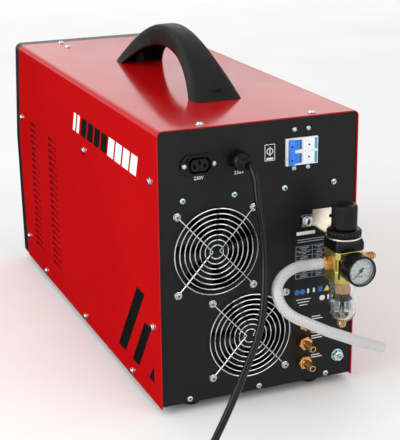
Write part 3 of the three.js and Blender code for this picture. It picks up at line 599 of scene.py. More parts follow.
def make_mains_cable():
    plug = mains_plug()
    end = node_box("mains_plug")[1]
    lead_in = [(end[0] + 22, end[1] - 18.2, 21.5), (end[0] + 10, end[1] - 18.2, 19.3),
            (end[0] - 1, end[1] - 18.2, 18.4)]
    tangent_run = [(189.5, 206.8, 4.7)]
    points = [*CABLE_ROUTE, *tangent_run, *coil_turns(), *lead_in]
    cable = cord_curve("power_cable", points, CABLE, "sheath")
    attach(cable, "machine")
    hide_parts("mains_cable", "mains_coil")
    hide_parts("mains_plug")


def make_air_hose():
    """A clear hose with its bore, and the values that its threads follow round it and along it."""
    path = smooth_line(HOSE_ROUTE, 7)
    outer = sweep(path, HOSE["outer"] / 2, HOSE["sides"])
    inner = sweep(path, HOSE["inner"] / 2, HOSE["sides"])
    shell = Shell().loft([*outer, *reversed(inner)], closed=True)
    hose = piece("clear_hose", shell, "hose", replaces=["air_hose"])
    around = hose.data.attributes.new("around", "FLOAT", "POINT")
    along = hose.data.attributes.new("along", "FLOAT", "POINT")
    gone = [0.0]
    for a, b in zip(path, path[1:]):
        gone.append(gone[-1] + (Vector(b) - Vector(a)).length * MM)
    rows = [*range(len(path)), *reversed(range(len(path)))]
    sides = HOSE["sides"]
    around.data.foreach_set("value", [min(i, sides - i) / sides for _ in rows for i in range(sides)])
    along.data.foreach_set("value", [gone[r] for r in rows for _ in range(sides)])


# ---------------------------------------------------------------- screws
def pan_head(shell, centre, axis, radius, height, side=1, washer=0.0, cross=0.55):
    """A pan head, with a washer under it where one is asked for."""
    base = 0.3
    if washer:
        shell.turned([(washer, 0), (washer, side * 0.9), (washer - 0.5, side * 1.1)], 28, centre=centre,
                axis=axis)
        base = 1.1
    dome = [(radius, base), (radius, base + height * 0.35), (radius * 0.86, base + height * 0.75),
            (radius * cross, base + height)]
    shell.turned([(r, side * along) for r, along in dome], 28, centre=centre, axis=axis)
    return shell


def cross_recess(shell, centre, axis, radius, height, side=1, washer=0.0, turn=20.0):
    """The cross of a screw head as a dark piece a hair above its top: painted shade in place of a recess."""
    top = (1.1 if washer else 0.3) + height
    arm, wide = radius * 0.5, radius * 0.13
    outline = [(arm, -wide), (arm, wide), (wide, wide), (wide, arm), (-wide, arm), (-wide, wide),
            (-arm, wide), (-arm, -wide), (-wide, -wide), (-wide, -arm), (wide, -arm), (wide, -wide)]
    return shell.prism(outline, side * (top - 0.3), side * (top + 0.06), centre=centre, axis=axis,
            turn=turn)


def screws(name, places, axis, finish, radius=3.6, height=2.4, side=1, washer=0.0):
    heads, marks = Shell(), Shell()
    for i, centre in enumerate(places):
        pan_head(heads, centre, axis, radius, height, side, washer)
        cross_recess(marks, centre, axis, radius, height, side, washer, turn=20 + 37 * i)
    piece(name, heads, finish, bevel=0.25)
    # The dark crosses are painted shade for the recesses in the heads.
    piece(f"{name}_recess", marks, "dark")


COVER = {"half": 139.6, "low": 10.5, "kink": 218, "top": 382.8}
COVER_EDGE = {"low": -659, "kink": -678, "top": -648}


def kinked(z, edge):
    """Where an edge of the front lies at a height: straight up to the kink, and straight on to the top."""
    start, end = ("kink", "top") if z > COVER["kink"] else ("low", "kink")
    share = (z - COVER[start]) / (COVER[end] - COVER[start])
    return edge[start] + (edge[end] - edge[start]) * share


def make_case_screws():
    front = [(kinked(z, COVER_EDGE) + 15, z) for z in (258, 48)]
    side_spots = [(-25, 313), (-25, 117), (-301, 286), *front, (-544, 18), (-326, 18), (-112, 18)]
    for side, where in ((1, "left"), (-1, "right")):
        places = [(side * COVER["half"], y, z) for y, z in side_spots]
        screws(f"cover_screws_{where}", places, "x", "chrome", 4.0, 2.6, side, 5.6)
    top = [(x, -10, COVER["top"]) for x in (77.5, -77.5)]
    top += [(x, y, COVER["top"]) for x in (70, -70) for y in (-597, -638)]
    screws("cover_screws_top", top, "z", "chrome", 4.0, 2.6, 1, 5.6)
    shelf = [(x, 0, 290.5) for x in (106, 35.8, -34.8, -105.7)]
    lower = [(x, 0, 18.8) for x in (99.7, 0, -99.7)]
    screws("panel_screws", shelf + lower, "y", "blue_zinc", 4.1, 2.4)


def make_rivets():
    shell = Shell()
    spots = [(x, 0, z) for x in (-48.2, -68) for z in (366, 315)]
    spots += [(83.8 + side * 20, 2.6, 335) for side in (-1, 1)]
    for x, y, z in spots:
        dome = [(3.3, 0.2), (3.3, 0.7), (2.9, 1.4), (2.0, 2.0), (0.9, 2.25)]
        shell.turned(dome, 28, centre=(x, y, z), axis="y")
    piece("panel_rivets", shell, "rivet")


# ---------------------------------------------------------------- louvres
LOUVRE = {"columns": (-579, -473), "count": 21, "low": 49.0, "high": 257.0, "length": 44.0, "slot": 7.0,
    "deep": 4.4}


def louvre_body(shell, side, profile, ends, z):
    """A body inside the cover's side: a profile of (depth, height) points between two ends along y."""
    skin_x = side * COVER["half"]
    shell.loft([[(skin_x - side * d, y, z + h) for d, h in profile] for y in ends])


def make_louvres():
    """Behind each slot of the cover, a pressed flap that leans inwards and its two end walls, which are
    painted a darker red as painted shade.
    """
    pitch = (LOUVRE["high"] - LOUVRE["low"]) / (LOUVRE["count"] - 1)
    half, deep, tall = LOUVRE["length"] / 2, LOUVRE["deep"], LOUVRE["slot"]
    skin = 0.9
    flap = [(0.2, tall + 0.4), (0.2, tall - 0.5), (deep * 0.5, tall * 0.5), (deep, 0.2), (deep + skin, 0.2),
            (deep * 0.5 + skin, tall * 0.5 + 0.5), (skin + 0.3, tall + 0.4)]
    shelf = [(0.9, 0.1), (deep + 0.4, 0.3), (deep + 0.4, -0.7), (0.9, -0.7)]
    wall = [(0.4, tall + 0.2), (0.4, 0.0), (deep + 0.6, 0.0), (deep + 0.6, 1.2), (deep * 0.5, tall * 0.62)]
    spots = [(y, LOUVRE["low"] + i * pitch) for y in LOUVRE["columns"] for i in range(LOUVRE["count"])]
    for side, where in ((1, "left"), (-1, "right")):
        flaps, walls = Shell(), Shell()
        for y, z in spots:
            for profile in (flap, shelf):
                louvre_body(flaps, side, profile, (y - half - 0.4, y + half + 0.4), z)
            for end in (-1, 1):
                louvre_body(walls, side, wall, (y + end * (half - 0.2), y + end * (half + 0.9)), z)
        piece(f"louvre_flaps_{where}", flaps, "red")
        # The end walls get a darker red than the cover: painted shade.
        piece(f"louvre_ends_{where}", walls, "end_wall_shade")


# ---------------------------------------------------------------- handle
HANDLE = {"x": 3.0, "y": -287.0, "bolt": 148.0, "outer": (167.0, 77.0), "inner": (136.0, 47.0),
    "crown": 14.5, "foot": 34.0, "flare": 2.2}


def handle_ring(s, seat):
    """One section across the arch, at s from -1 to 1: a rounded back, straight sides, a hollow underside."""
    rise = 1 - s * s
    wide = HANDLE["crown"] + (HANDLE["foot"] - HANDLE["crown"]) * abs(s) ** HANDLE["flare"]
    outer = Vector((s * HANDLE["outer"][0], HANDLE["outer"][1] * rise))
    inner = Vector((s * HANDLE["inner"][0], HANDLE["inner"][1] * rise))
    section = []
    shape = [(-1.0, 0.30), (-0.97, 0.14), (-0.88, 0.04), (-0.72, 0.0), (-0.3, -0.012), (0.3, -0.012),
            (0.72, 0.0), (0.88, 0.04), (0.97, 0.14), (1.0, 0.30), (1.0, 0.93), (0.93, 1.0), (0.86, 1.0),
            (0.8, 0.9), (0.8, 0.36), (-0.8, 0.36), (-0.8, 0.9), (-0.86, 1.0), (-0.93, 1.0), (-1.0, 0.93)]
    for across, deep in shape:
        middle = outer.lerp(inner, deep)
        section.append((HANDLE["x"] + across * wide, HANDLE["y"] + middle.x, seat + max(0.0, middle.y)))
    return section


def make_handle():
    """The arch of the carrying handle with a hollow underside, ribs in it and a screw boss at each foot."""
    seat = COVER["top"] + 0.3
    stations = [math.sin(math.pi / 2 * (-1 + 2 * i / 56)) for i in range(57)]
    shell = Shell().loft([handle_ring(s, seat) for s in stations])
    for i in range(-9, 10):
        s = i * 0.088
        ring = handle_ring(s, seat)
        top, bottom = Vector(ring[15]), Vector(ring[16])
        slope = math.atan2(-2 * s * HANDLE["outer"][1], HANDLE["outer"][0])
        thick = Vector((0, math.cos(slope), math.sin(slope))) * 0.9
        right = Vector(ring[14])
        left_low, right_low = top.lerp(bottom, 0.72), right.lerp(Vector(ring[13]), 0.72)
        quad = [top, right, right_low, left_low]
        shell.loft([[tuple(p - thick) for p in quad], [tuple(p + thick) for p in quad]])
    piece("carry_handle", shell, "handle", replaces=["handle"], bevel=0.7)
    bosses, bolts = Shell(), Shell()
    for end in (-1, 1):
        y = HANDLE["y"] + end * HANDLE["bolt"]
        cup = [(9.5, 0.2), (9.5, 14.5), (8.8, 15.4), (7.0, 15.4), (6.6, 14.6), (6.6, 4.2), (4.0, 4.0),
                (4.0, 0.2)]
        bosses.turned([(r, seat + a) for r, a in cup], 32, closed=True, centre=(HANDLE["x"], y, 0))
        head = [(3.0, -13.8), (3.0, 4.4), (5.7, 4.4), (5.7, 6.4), (5.2, 7.6), (4.2, 8.6), (2.6, 9.2)]
        bolts.turned([(r, seat + a) for r, a in head], 32, centre=(HANDLE["x"], y, 0))
    piece("handle_bosses", bosses, "handle", bevel=0.3)
    piece("handle_screws", bolts, "zinc", replaces=["handle_bolt_rear", "handle_bolt_front"],
            bevel=0.25)


# ---------------------------------------------------------------- feet
def make_feet():
    for end in ("rear", "front"):
        for side in ("left", "right"):
            name = f"foot_{end}_{side}"
            low, high = node_box(name)
            x, y = (low[0] + high[0]) / 2, (low[1] + high[1]) / 2
            profile = [(3.6, 3.4), (3.8, 0.8), (5.2, 0.0), (10.6, 0.0), (12.0, 0.8), (14.0, 4.0),
                    (14.0, high[2] - 0.4), (13.6, high[2])]
            shell = Shell((x, y, 0)).turned(profile, 48)
            for groove in range(12):
                t = math.radians(groove * 30)
                cx, cy = x + 13.6 * math.cos(t), y + 13.6 * math.sin(t)
                shell.turned([(0.9, 4.5), (0.9, high[2] - 1)], 10, centre=(cx, cy, 0))
            piece(f"rubber_{name}", shell, "rubber", replaces=[name])


# ---------------------------------------------------------------- fans
FAN = {"upper": (61.5, 218.3), "lower": (14.3, 94.8), "bore": 57.5, "blades": 7}
GRILLE = {"rings": 8, "outer": 57.5, "pitch": 6.9, "wire": 0.8, "pitch_of_screws": 104.8, "apex": 5.0}


def plate_with_bore(shell, half, corner, bore, low, high, sides=64):
    """A square plate with round corners and a round bore, as one closed ring of quads."""
    outer, inner = [], []
    reach = half - corner
    for t in angles(sides):
        c, s = math.cos(t), math.sin(t)
        scale = half / max(abs(c), abs(s))
        x, z = c * scale, s * scale
        if abs(x) > reach and abs(z) > reach:
            excess = math.hypot(abs(x) - reach, abs(z) - reach)
            share = corner / excess
            x = math.copysign(reach + (abs(x) - reach) * share, x)
            z = math.copysign(reach + (abs(z) - reach) * share, z)
        outer.append((x, z))
        inner.append((bore * c, bore * s))
    return shell.stack([(outer, low), (outer, high), (inner, high), (inner, low)], closed=True)


def make_fan(where):
    x, z = FAN[where]
    centre = (x, 0, z)
    frame_shell = Shell(centre, "y")
    plate_with_bore(frame_shell, 59.4, 6, FAN["bore"], -1.9, -5.6)
    plate_with_bore(frame_shell, 59.4, 6, FAN["bore"], -23.2, -26.7)
    frame_shell.turned([(59.2, -5.4), (59.2, -23.4), (FAN["bore"], -23.4), (FAN["bore"], -5.4)], 64, True)
    frame_shell.turned([(21, -23.6), (21, -26.6), (20.2, -26.8)], 40)
    for arm in range(4):
        outline = [(-3, 19), (3, 19), (2.4, FAN["bore"] + 0.6), (-2.4, FAN["bore"] + 0.6)]
        frame_shell.prism(outline, -26.6, -23.6, turn=arm * 90 + 20)
    piece(f"fan_housing_{where}", frame_shell, "plastic", replaces=[f"fan_frame_{where}"],
            bevel=0.4)
    rotor = Shell(centre, "y")
    hub = [(18.9, -22), (20, -21), (20, -6.2), (19.2, -4.9), (17.6, -4.5), (16, -4.5), (15.6, -4.9),
            (0.6, -4.9)]
    rotor.turned(hub, 56)
    for blade in range(FAN["blades"]):
        rotor.loft(blade_rings(), turn=blade * 360 / FAN["blades"])
    piece(f"fan_wheel_{where}", rotor, "plastic", f"fan_rotor_{where}",
            [f"fan_rotor_{where}"])
    label = Shell(centre, "y").turned([(13.5, -4.95), (13.5, -4.7), (13.2, -4.6)], 48)
    for ring in range(2):
        label.turned([(4 + ring * 4, -4.62), (4.4 + ring * 4, -4.62), (4.4 + ring * 4, -4.5),
                (4 + ring * 4, -4.5)], 40, closed=True)
    piece(f"fan_label_{where}", label, "plate", f"fan_rotor_{where}")


def blade_rings():
    """Sections of a swept blade from the hub to its tip, as (across, out, along) points."""
    rings = []
    for i in range(9):
        t = i / 8
        out = 19 + t * (55 - 19)
        twist = math.radians(46 - 20 * t)
        chord = 9.5 + 9.0 * t ** 0.9
        lean = 10 * t * t
        section = []
        for u, side in [(k / 6, 1) for k in range(7)] + [(k / 6, -1) for k in range(6, -1, -1)]:
            camber = 1.6 * math.sin(math.pi * u)
            thick = side * (0.25 + 0.75 * math.sin(math.pi * u) ** 0.6)
            flat, up = (u - 0.5) * 2 * chord, camber + thick
            across = flat * math.cos(twist) - up * math.sin(twist) + lean
            along = -13.3 + flat * math.sin(twist) * 0.78 + up * math.cos(twist)
            angle = across / out
            section.append((out * math.sin(angle), out * math.cos(angle), along))
        rings.append(section)
    return rings


def make_guard(where):
    """Chrome wire guard: rings, two bent wires to four eyelets, and the screws through them."""
    x, z = FAN[where]
    shell, eyes = Shell((x, 0, z), "y"), Shell(axis="y")
    for i in range(GRILLE["rings"]):
        radius = GRILLE["outer"] - i * GRILLE["pitch"]
        shell.turned(circle(GRILLE["wire"], 8, centre=(radius, 3.4)), 72, closed=True)
    corner = GRILLE["pitch_of_screws"] / 2
    for side in (-1, 1):
        knee = []
        for up in (1, -1):
            tip = Vector((side * corner, 1.3, up * corner))
            bend = Vector((side * GRILLE["apex"], 2.0, 0))
            away = (bend - tip).normalized()
            low = tip + away * 4.2
            leg = [low, low + away * 7, low + away * 12 + Vector((0, 0.6, 0))]
            knee.append([tuple(p) for p in leg])
        first, last = knee
        middle = [(side * (GRILLE["apex"] + 2.2), 2.0, 2.6), (side * GRILLE["apex"], 2.0, 0.9),
                (side * GRILLE["apex"], 2.0, -0.9), (side * (GRILLE["apex"] + 2.2), 2.0, -2.6)]
        path = [(p[0] + x, p[1], p[2] + z) for p in [*first, *middle, *reversed(last)]]
        shell.wire(path, 0.85, 10)
        for up in (1, -1):
            place = (x + side * corner, 0, z + up * corner)
            shell.turned(circle(1.0, 8, centre=(4.3, 1.3)), 28, closed=True, centre=place)
            eyes.turned([(5.0, 0.1), (5.0, 0.5), (4.6, 0.6)], 28, centre=place)
            pan_head(eyes, (place[0], 1.2, place[2]), "y", 4.3, 2.6)
    piece(f"wire_guard_{where}", shell, "chrome", replaces=[f"fan_grille_{where}"])
    piece(f"guard_screws_{where}", eyes, "rivet", bevel=0.25)
    marks = Shell()
    for i, (sx, sz) in enumerate([(1, 1), (1, -1), (-1, 1), (-1, -1)]):
        cross_recess(marks, (x + sx * corner, 1.2, z + sz * corner), "y", 4.3, 2.6, turn=15 + 31 * i)
    piece(f"guard_screws_recess_{where}", marks, "dark")


# ---------------------------------------------------------------- rear electrical fittings
BREAKER = {"x": -58.2, "z": 337.0, "front": 3.0}
TOGGLE = {"x": BREAKER["x"] + 9, "y": -3.0, "lean": 35.0}


def bar(shell, x, z, width, height, low, high, corner=0.4, turn=0.0):
    """A low block with round corners on the rear panel."""
    return shell.prism(rounded(width, height, corner), low, high, centre=(x, 0, z), axis="y", turn=turn)


def make_breaker():
    x, z, front = BREAKER["x"], BREAKER["z"], BREAKER["front"]
    trim = Shell()
    for pole in (-9, 9):
        bar(trim, x - 4.5, z + pole, 7.4, 15.4, front, front + 0.5)
        bar(trim, x - 13.2, z + pole, 7.8, 15.4, front, front + 0.7)
    bar(trim, x + 20.8, z, 2.2, 34.6, front, front + 0.8)
    bar(trim, x - 9.2, z, 17.6, 0.9, front, front + 0.9)
    piece("breaker_trim", trim, "white", bevel=0.2)
    strips = Shell()
    for pole in (-9, 9):
        bar(strips, x - 19.6, z + pole, 3.6, 15.0, front, front + 0.4)
    piece("breaker_strips", strips, "teal", bevel=0.15)
    dots = Shell()
    for pole in (-8, 8):
        dots.turned([(1.1, front + 0.4), (1.1, front + 0.95), (0.9, front + 1.0)], 20,
                centre=(x - 9.6, 0, z + pole), axis="y")
    piece("breaker_dots", dots, "dark")


def make_lever():
    """Two coupled toggles: each a drum with a spoke, joined by one wide grip bar."""
    lever = Shell()
    lean = -math.radians(TOGGLE["lean"])
    axis_x, axis_y = TOGGLE["x"], TOGGLE["y"]
    for pole in (-9, 9):
        drum = [(7.0, pole - 6.2), (8.0, pole - 5.6), (8.0, pole + 5.6), (7.0, pole + 6.2)]
        lever.turned(drum, 36, centre=(axis_x, axis_y, BREAKER["z"]))
    lever.turned([(2.4, -9.5), (2.4, 9.5)], 24, centre=(axis_x, axis_y, BREAKER["z"]))

    def turned_out(across, out):
        """A point across and out from the pivot, leaned with the lever."""
        return (axis_x + across * math.cos(lean) - out * math.sin(lean),
                axis_y + across * math.sin(lean) + out * math.cos(lean))

    for pole in (-9, 9):
        spoke = [(-3.2, 4), (3.0, 4), (3.4, 11.5), (-3.4, 11.5)]
        rings = [[(*turned_out(*p), BREAKER["z"] + h) for p in spoke] for h in (pole - 6.2, pole + 6.2)]
        lever.loft(rings)
    grip = [(-3.4, 9.6), (3.2, 9.4), (4.0, 11.4), (3.9, 13.8), (2.6, 15.1), (-1.6, 15.4), (-3.5, 14.0)]
    rings = [[(*turned_out(a * k, 12 + (o - 12) * k),
            BREAKER["z"] + h) for a, o in grip] for h, k in ((-16.6, 0.86), (-15.9, 1.0), (15.9, 1.0),
            (16.6, 0.86))]
    lever.loft(rings)
    piece("toggle_pair", lever, "blue", "breaker_lever", ["breaker_lever"], bevel=0.4)
    dots = Shell()
    for h in (-9, 9):
        spots = [turned_out(1.3 * math.cos(t) - 0.4, 15.35) for t in angles(14)]
        ends = [(*p, BREAKER["z"] + h + 1.3 * math.sin(t)) for p, t in zip(spots, angles(14))]
        dots.loft([[(x, y + lift, z) for x, y, z in ends] for lift in (-0.5, 0.12)])
    piece("toggle_dots", dots, "dark", "breaker_lever")


def make_gland():
    x, _, z = CABLE_ROUTE[0]
    shell = Shell((x, 0, z), "y")
    shell.turned([(9, -12), (9, 0.6)], 40)
    shell.stack([(hexagon(13.6, 30), 0.3), (hexagon(13.61, 30), 0.9)])
    shell.prism(hexagon(13.6, 30), 0.9, 6.5)
    crown = [(11.6, 6.2), (12.4, 7.2), (12.4, 13.2), (11.6, 15.4), (9.9, 18.2), (8.1, 19.4)]
    rings = [(7.7, 19.6)]
    for step in range(5):
        base = 20.2 + step * 2.7
        wide = 7.5 - step * 0.28
        rings += [(wide - 0.7, base), (wide, base + 0.6), (wide, base + 1.7), (wide - 0.7, base + 2.2)]
    shell.turned([*crown, *rings, (5.7, 34.0)], 48)
    for rib in range(12):
        t = math.radians(rib * 30)
        place = (x + 12.2 * math.cos(t), 0, z + 12.2 * math.sin(t))
        shell.turned([(0.8, 7.4), (0.8, 13.0)], 10, centre=place)
    piece("strain_relief", shell, "plastic", replaces=["cable_gland"], bevel=0.35)


def make_earth_bolt():
    centre = (-116.6, 0, 43.0)
    shell = Shell(centre, "y")
    shell.turned([(8.6, 0.3), (8.6, 1.9), (8.2, 2.2)], 48)
    shell.turned([(6.6, 2.0), (6.6, 3.4), (5.8, 3.6)], 40)
    shell.prism(hexagon(7.7, 12), 3.4, 7.2)
    shell.turned([(6.3, 7.1), (6.2, 7.5), (5.2, 7.9)], 40)
    shell.turned([(4, -16), (4, 1)], 28)
    piece("ground_bolt", shell, "blue_zinc", replaces=["earth_bolt"], bevel=0.4)
    # A dark ring and bar on the bolt's end: painted shade for the gap round the stud and for its slot.
    ring = Shell(centre, "y").turned([(2.6, 7.8), (3.4, 7.8), (3.4, 8.1), (2.6, 8.1)], 28, closed=True)
    ring.prism([(-4, -0.5), (4, -0.5), (4, 0.5), (-4, 0.5)], 7.8, 8.15, turn=28)
    piece("ground_bolt_slot_shade", ring, "dark")


# ---------------------------------------------------------------- gas fittings and barbs
def barb(shell, bore, sign, hex_from, hex_to, tip, radius, hex_radius, turn=0.0):
    """A hose barb: hexagon, collar, three ridges and an open bore, whose floor is its own dark piece,
    painted shade for the depth of the bore.
    """
    shell.prism(hexagon(hex_radius, turn), sign * hex_from, sign * hex_to)
    shell.turned([(hex_radius * 0.84, sign * (hex_to - 0.4)), (hex_radius * 0.8, sign * (hex_to + 0.7)),
            (radius + 1.4, sign * (hex_to + 1.3))], 40)
    profile = [(radius + 0.6, hex_to), (radius, hex_to + 2.2)]
    ridge = (tip - hex_to - 4.5) / 3
    for k in range(3):
        at = tip - 1.0 - (2 - k) * ridge
        profile += [(radius - 0.1, at - ridge * 0.95), (radius + 1.0, at - ridge * 0.82),
                (radius + 0.9, at - ridge * 0.7), (radius - 0.3, at - ridge * 0.05)]
    inner = radius - 1.7
    profile += [(radius - 0.6, tip), (inner, tip), (inner, tip - 7), (inner * 0.5, tip - 7.2)]
    shell.turned([(r, sign * a) for r, a in profile], 40)
    bore.turned([(inner - 0.05, sign * (tip - 6.2)), (inner - 0.05, sign * (tip - 1.2))], 28)


def make_gas_fittings():
    for i, z in enumerate((99, 71, 43)):
        shell, bore = (Shell((-65.5, 0, z), "y") for _ in range(2))
        shell.turned([(5, -14), (5, 0.5)], 32)
        barb(shell, bore, 1, 0.3, 8.6, 30, 4.6, 9.8, 30 + 17 * i)
        name = f"gas_fitting_{i + 1}"
        piece(f"brass_barb_{i + 1}", shell, "brass", replaces=[name], bevel=0.4)
        piece(f"brass_barb_bore_{i + 1}", bore, "dark")


# ---------------------------------------------------------------- filter regulator
REG = {"x": -91.2, "y": 58.0, "port": 203.0}
CENTRE = (REG["x"], REG["y"], 0)


def ribbed(radius, ribs, depth, sides_per_rib=6):
    """A circle with shallow rounded ribs."""
    out = []
    for t in angles(ribs * sides_per_rib):
        r = radius - depth * (0.5 - 0.5 * math.cos(t * ribs)) ** 3
        out.append((r * math.cos(t), r * math.sin(t)))
    return out


def scaled(outline, factor):
    return [(a * factor, b * factor) for a, b in outline]


def make_regulator():
    low, high = node_box("regulator_knob")
    top, bottom = high[2], low[2]
    outline = ribbed(16.6, 30, 0.55)
    knob = Shell(CENTRE)
    skirt = ribbed(16.75, 30, 0.2)
    levels = [(scaled(skirt, 0.985), bottom), (skirt, bottom + 0.6), (skirt, bottom + 3.4),
            (outline, bottom + 4.2), (outline, top - 3.4), (scaled(outline, 0.965), top - 1.6),
            (scaled(circle(16.6, 180), 0.88), top - 0.3), (scaled(circle(16.6, 180), 0.84), top),
            (scaled(circle(16.6, 180), 0.62), top), (scaled(circle(16.6, 180), 0.6), top - 0.5),
            (scaled(circle(16.6, 180), 0.05), top - 0.5)]
    knob.stack(levels)
    piece("pressure_knob", knob, "plastic", "regulator_knob", ["regulator_knob"], sharp=50)
    screw = Shell(CENTRE)
    thread = [(3.9, 228)]
    for turn in range(14):
        z = 229 + turn * 2.1
        thread += [(3.8, z), (4.3, z + 1.0)]
    screw.turned([*thread, (4.2, 259), (6.8, 259), (7.0, 259.5), (7.0, 265.5), (6.6, 266)], 36)
    piece("spindle", screw, "zinc", "adjusting_screw", ["adjusting_screw"])
    ring = Shell(CENTRE)
    grip = ribbed(22.4, 24, 1.1)
    inner = circle(14.4, 144)
    ring.stack([(scaled(grip, 0.97), 237.3), (grip, 238.0), (grip, 243.6), (scaled(grip, 0.93), 245.4),
            (scaled(circle(22.4, 144), 0.86), 246), (inner, 246), (inner, 237.3)], closed=True)
    piece("panel_nut", ring, "plastic", replaces=["bonnet_ring"], sharp=50)
    bonnet = Shell(CENTRE)
    base = rounded(41, 41, 6)
    bonnet.stack([(scaled(base, 0.97), 220.3), (base, 221.0), (base, 229.5), (scaled(base, 0.96), 231.5),
            (scaled(base, 0.9), 234.6)])
    neck = [(14, 230), (14, 246), (12.4, 247), (12.4, 257.6), (12.0, 258), (4.9, 258), (4.9, 231)]
    bonnet.turned(neck, 48, closed=True)
    piece("bonnet", bonnet, "plastic", replaces=["regulator_bonnet"], bevel=0.3)
    shim = Shell(CENTRE).turned([(16.2, 234.7), (20.9, 234.7), (21.0, 234.9), (16.2, 234.9)], 56,
            closed=True)
    piece("bonnet_shim", shim, "chrome")
    corners = Shell()
    for sx in (-1, 1):
        for sy in (-1, 1):
            pan_head(corners, (REG["x"] + sx * 15.6, REG["y"] + sy * 15.6, 231.2), "z", 2.6, 1.6)
    piece("bonnet_screws", corners, "blue_zinc", bevel=0.2)


def make_casting():
    """The gilt body's bosses, corner pillars and shoulder, with the nut and barbs at its ports."""
    shell = Shell()
    x, y, port = REG["x"], REG["y"], REG["port"]
    for sign in (-1, 1):
        shell.turned([(11.2, sign * 17), (11.2, sign * 19.6), (10.6, sign * 20.1)], 40, centre=(x, y, port),
                axis="x")
    shell.turned([(9.6, 76.5), (9.6, 78.0), (9.0, 78.2)], 40, centre=(x, 0, port), axis="y")
    shell.turned([(19.2, 176.6), (19.6, 177.2), (19.6, 179.6), (18.8, 180.6)], 64, centre=CENTRE)
    for sx in (-1, 1):
        for sy in (-1, 1):
            place = (x + sx * 15.2, y + sy * 15.2, 0)
            shell.turned([(2.3, 188), (2.3, 219.4), (1.9, 219.8)], 20, centre=place)
    for sx in (-1, 1):
        bar(shell, x + sx * 12.6, 199, 3.0, 24, 77.6, 78.4, 1.2)
    piece("casting_bosses", shell, "gilt", bevel=0.35)
    # Dark bars beside the bosses: painted shade standing in for recesses in the casting.
    dark = Shell()
    for sx in (-1, 1):
        bar(dark, x + sx * 16.6, 198, 2.6, 26, 78.0, 78.3, 1.2)
    piece("casting_recess_shade", dark, "dark")
    at_port = ((x, y, port), "x")
    nut = Shell(*at_port).prism(hexagon(9.0), -19.9, -25.5)
    fitting, bore = Shell(*at_port), Shell(*at_port)
    barb(fitting, bore, -1, 25.8, 30.5, 46, 4.2, 7.6, 10)
    piece("outlet_nut", nut, "plastic", bevel=0.6)
    piece("outlet_barb", fitting, "brass", replaces=["outlet_fitting"], bevel=0.3)
    piece("outlet_barb_bore", bore, "dark")
    inlet, bore = Shell(*at_port), Shell(*at_port)
    barb(inlet, bore, 1, 20.3, 29, 47, 4.0, 9.8, 10)
    piece("inlet_barb", inlet, "brass", replaces=["inlet_fitting"], bevel=0.3)
    piece("inlet_barb_bore", bore, "dark")


BRACKET_SCREW_Z = 241.4


def make_bracket():
    x = REG["x"] + 23.5
    centre = (x, 0, BRACKET_SCREW_Z)
    head, mark, plate = (Shell(centre, "y") for _ in range(3))
    head.turned([(3, -8), (3, 2.6)], 24)
    head.turned([(7.4, 2.35), (7.4, 3.1), (7.0, 3.3)], 36)
    pan_head(head, (x, 3.0, BRACKET_SCREW_Z), "y", 5.6, 3.4)
    cross_recess(mark, (x, 3.0, BRACKET_SCREW_Z), "y", 5.6, 3.4, turn=32)
    piece("bracket_screw", head, "chrome", replaces=["bracket_bolt"], bevel=0.3)
    piece("bracket_screw_recess", mark, "dark")
    outline = [(-6, -6.6), (7.6, -6.6), (9.4, -4.6), (9.4, 7.4), (7.4, 9.4), (-6, 9.4)]
    plate.prism(outline, 2.3, 3.0)
    lip = [(8.2, 2.3), (9.4, 2.3), (9.4, 7.5), (8.2, 7.5)]
    plate.prism(lip, -4.6, 7.4, axis="z")
    piece("bracket_tab", plate, "chrome", bevel=0.3)


def make_gauge():
    x, z = REG["x"], REG["port"]
    case = [(5.5, 78.4), (5.5, 83.6), (17.2, 84), (19.2, 85.2), (20, 87.4), (20, 104.6), (20.0, 106.6),
            (19.4, 107.8), (18.4, 108), (17.7, 107.6), (17.6, 101.1), (17.3, 101.0)]
    piece("gauge_housing", Shell((x, 0, z), "y").turned(case, 72), "plastic",
            replaces=["gauge_case"])
    face = Shell((x, 0, z), "y").turned([(17.2, 101.3), (17.3, 101.9), (17.2, 102.0)], 72)
    piece("gauge_face", face, "dial", replaces=["gauge_dial"])
    marks = Shell((x, 0, z), "y")
    for i in range(51):
        t = math.radians(225 - 270 * i / 50)
        long_mark = i % 5 == 0
        inner = 11.6 if long_mark else 13.2
        wide = 0.28 if long_mark else 0.14
        along = Vector((math.cos(t), math.sin(t)))
        side = Vector((-math.sin(t), math.cos(t))) * wide
        quad = [along * inner - side, along * 14.6 - side, along * 14.6 + side, along * inner + side]
        marks.prism([tuple(p) for p in quad], 101.95, 102.08)
    arc = angles(40, -45, 225, whole=False)
    outer_arc = [(15.1 * math.cos(t), 15.1 * math.sin(t)) for t in arc]
    inner_arc = [(14.8 * math.cos(t), 14.8 * math.sin(t)) for t in reversed(arc)]
    marks.prism([*outer_arc, *inner_arc], 101.95, 102.06)
    marks.prism(rounded(7, 1.0, 0.4), 101.95, 102.05, centre=(x, 0, z - 7.4), axis="y")
    piece("gauge_marks", marks, "plate")
    for number in range(0, 11, 2):
        t = math.radians(225 - 27 * number)
        letters(f"gauge_number_{number}", str(number), 3.0, (x - 9.2 * math.cos(t), 102.03,
                z + 9.2 * math.sin(t)), "plate")
    needle = Shell((x, 0, z), "y")
    turn = math.radians(135)
    pointer = [(-0.95, -5.4), (0.95, -5.4), (0.6, 2), (0.12, 13.6), (-0.12, 13.6), (-0.6, 2)]
    outline = [(a * math.cos(turn) + b * math.sin(turn),
            -a * math.sin(turn) + b * math.cos(turn)) for a, b in pointer]
    needle.prism(outline, 103.1, 103.8)
    needle.turned([(2.1, 102.4), (2.1, 103.9), (1.7, 104.3), (0.8, 104.5)], 28)
    piece("gauge_pointer", needle, "dark", "gauge_needle", ["gauge_needle"], bevel=0.08)
    glass = Shell((x, 0, z), "y").turned([(17.3, 105.4), (17.4, 106.2), (17.2, 106.9), (12, 107.15),
            (5, 107.25)], 72)
    piece("gauge_glass", glass, "clear", replaces=["gauge_lens"])


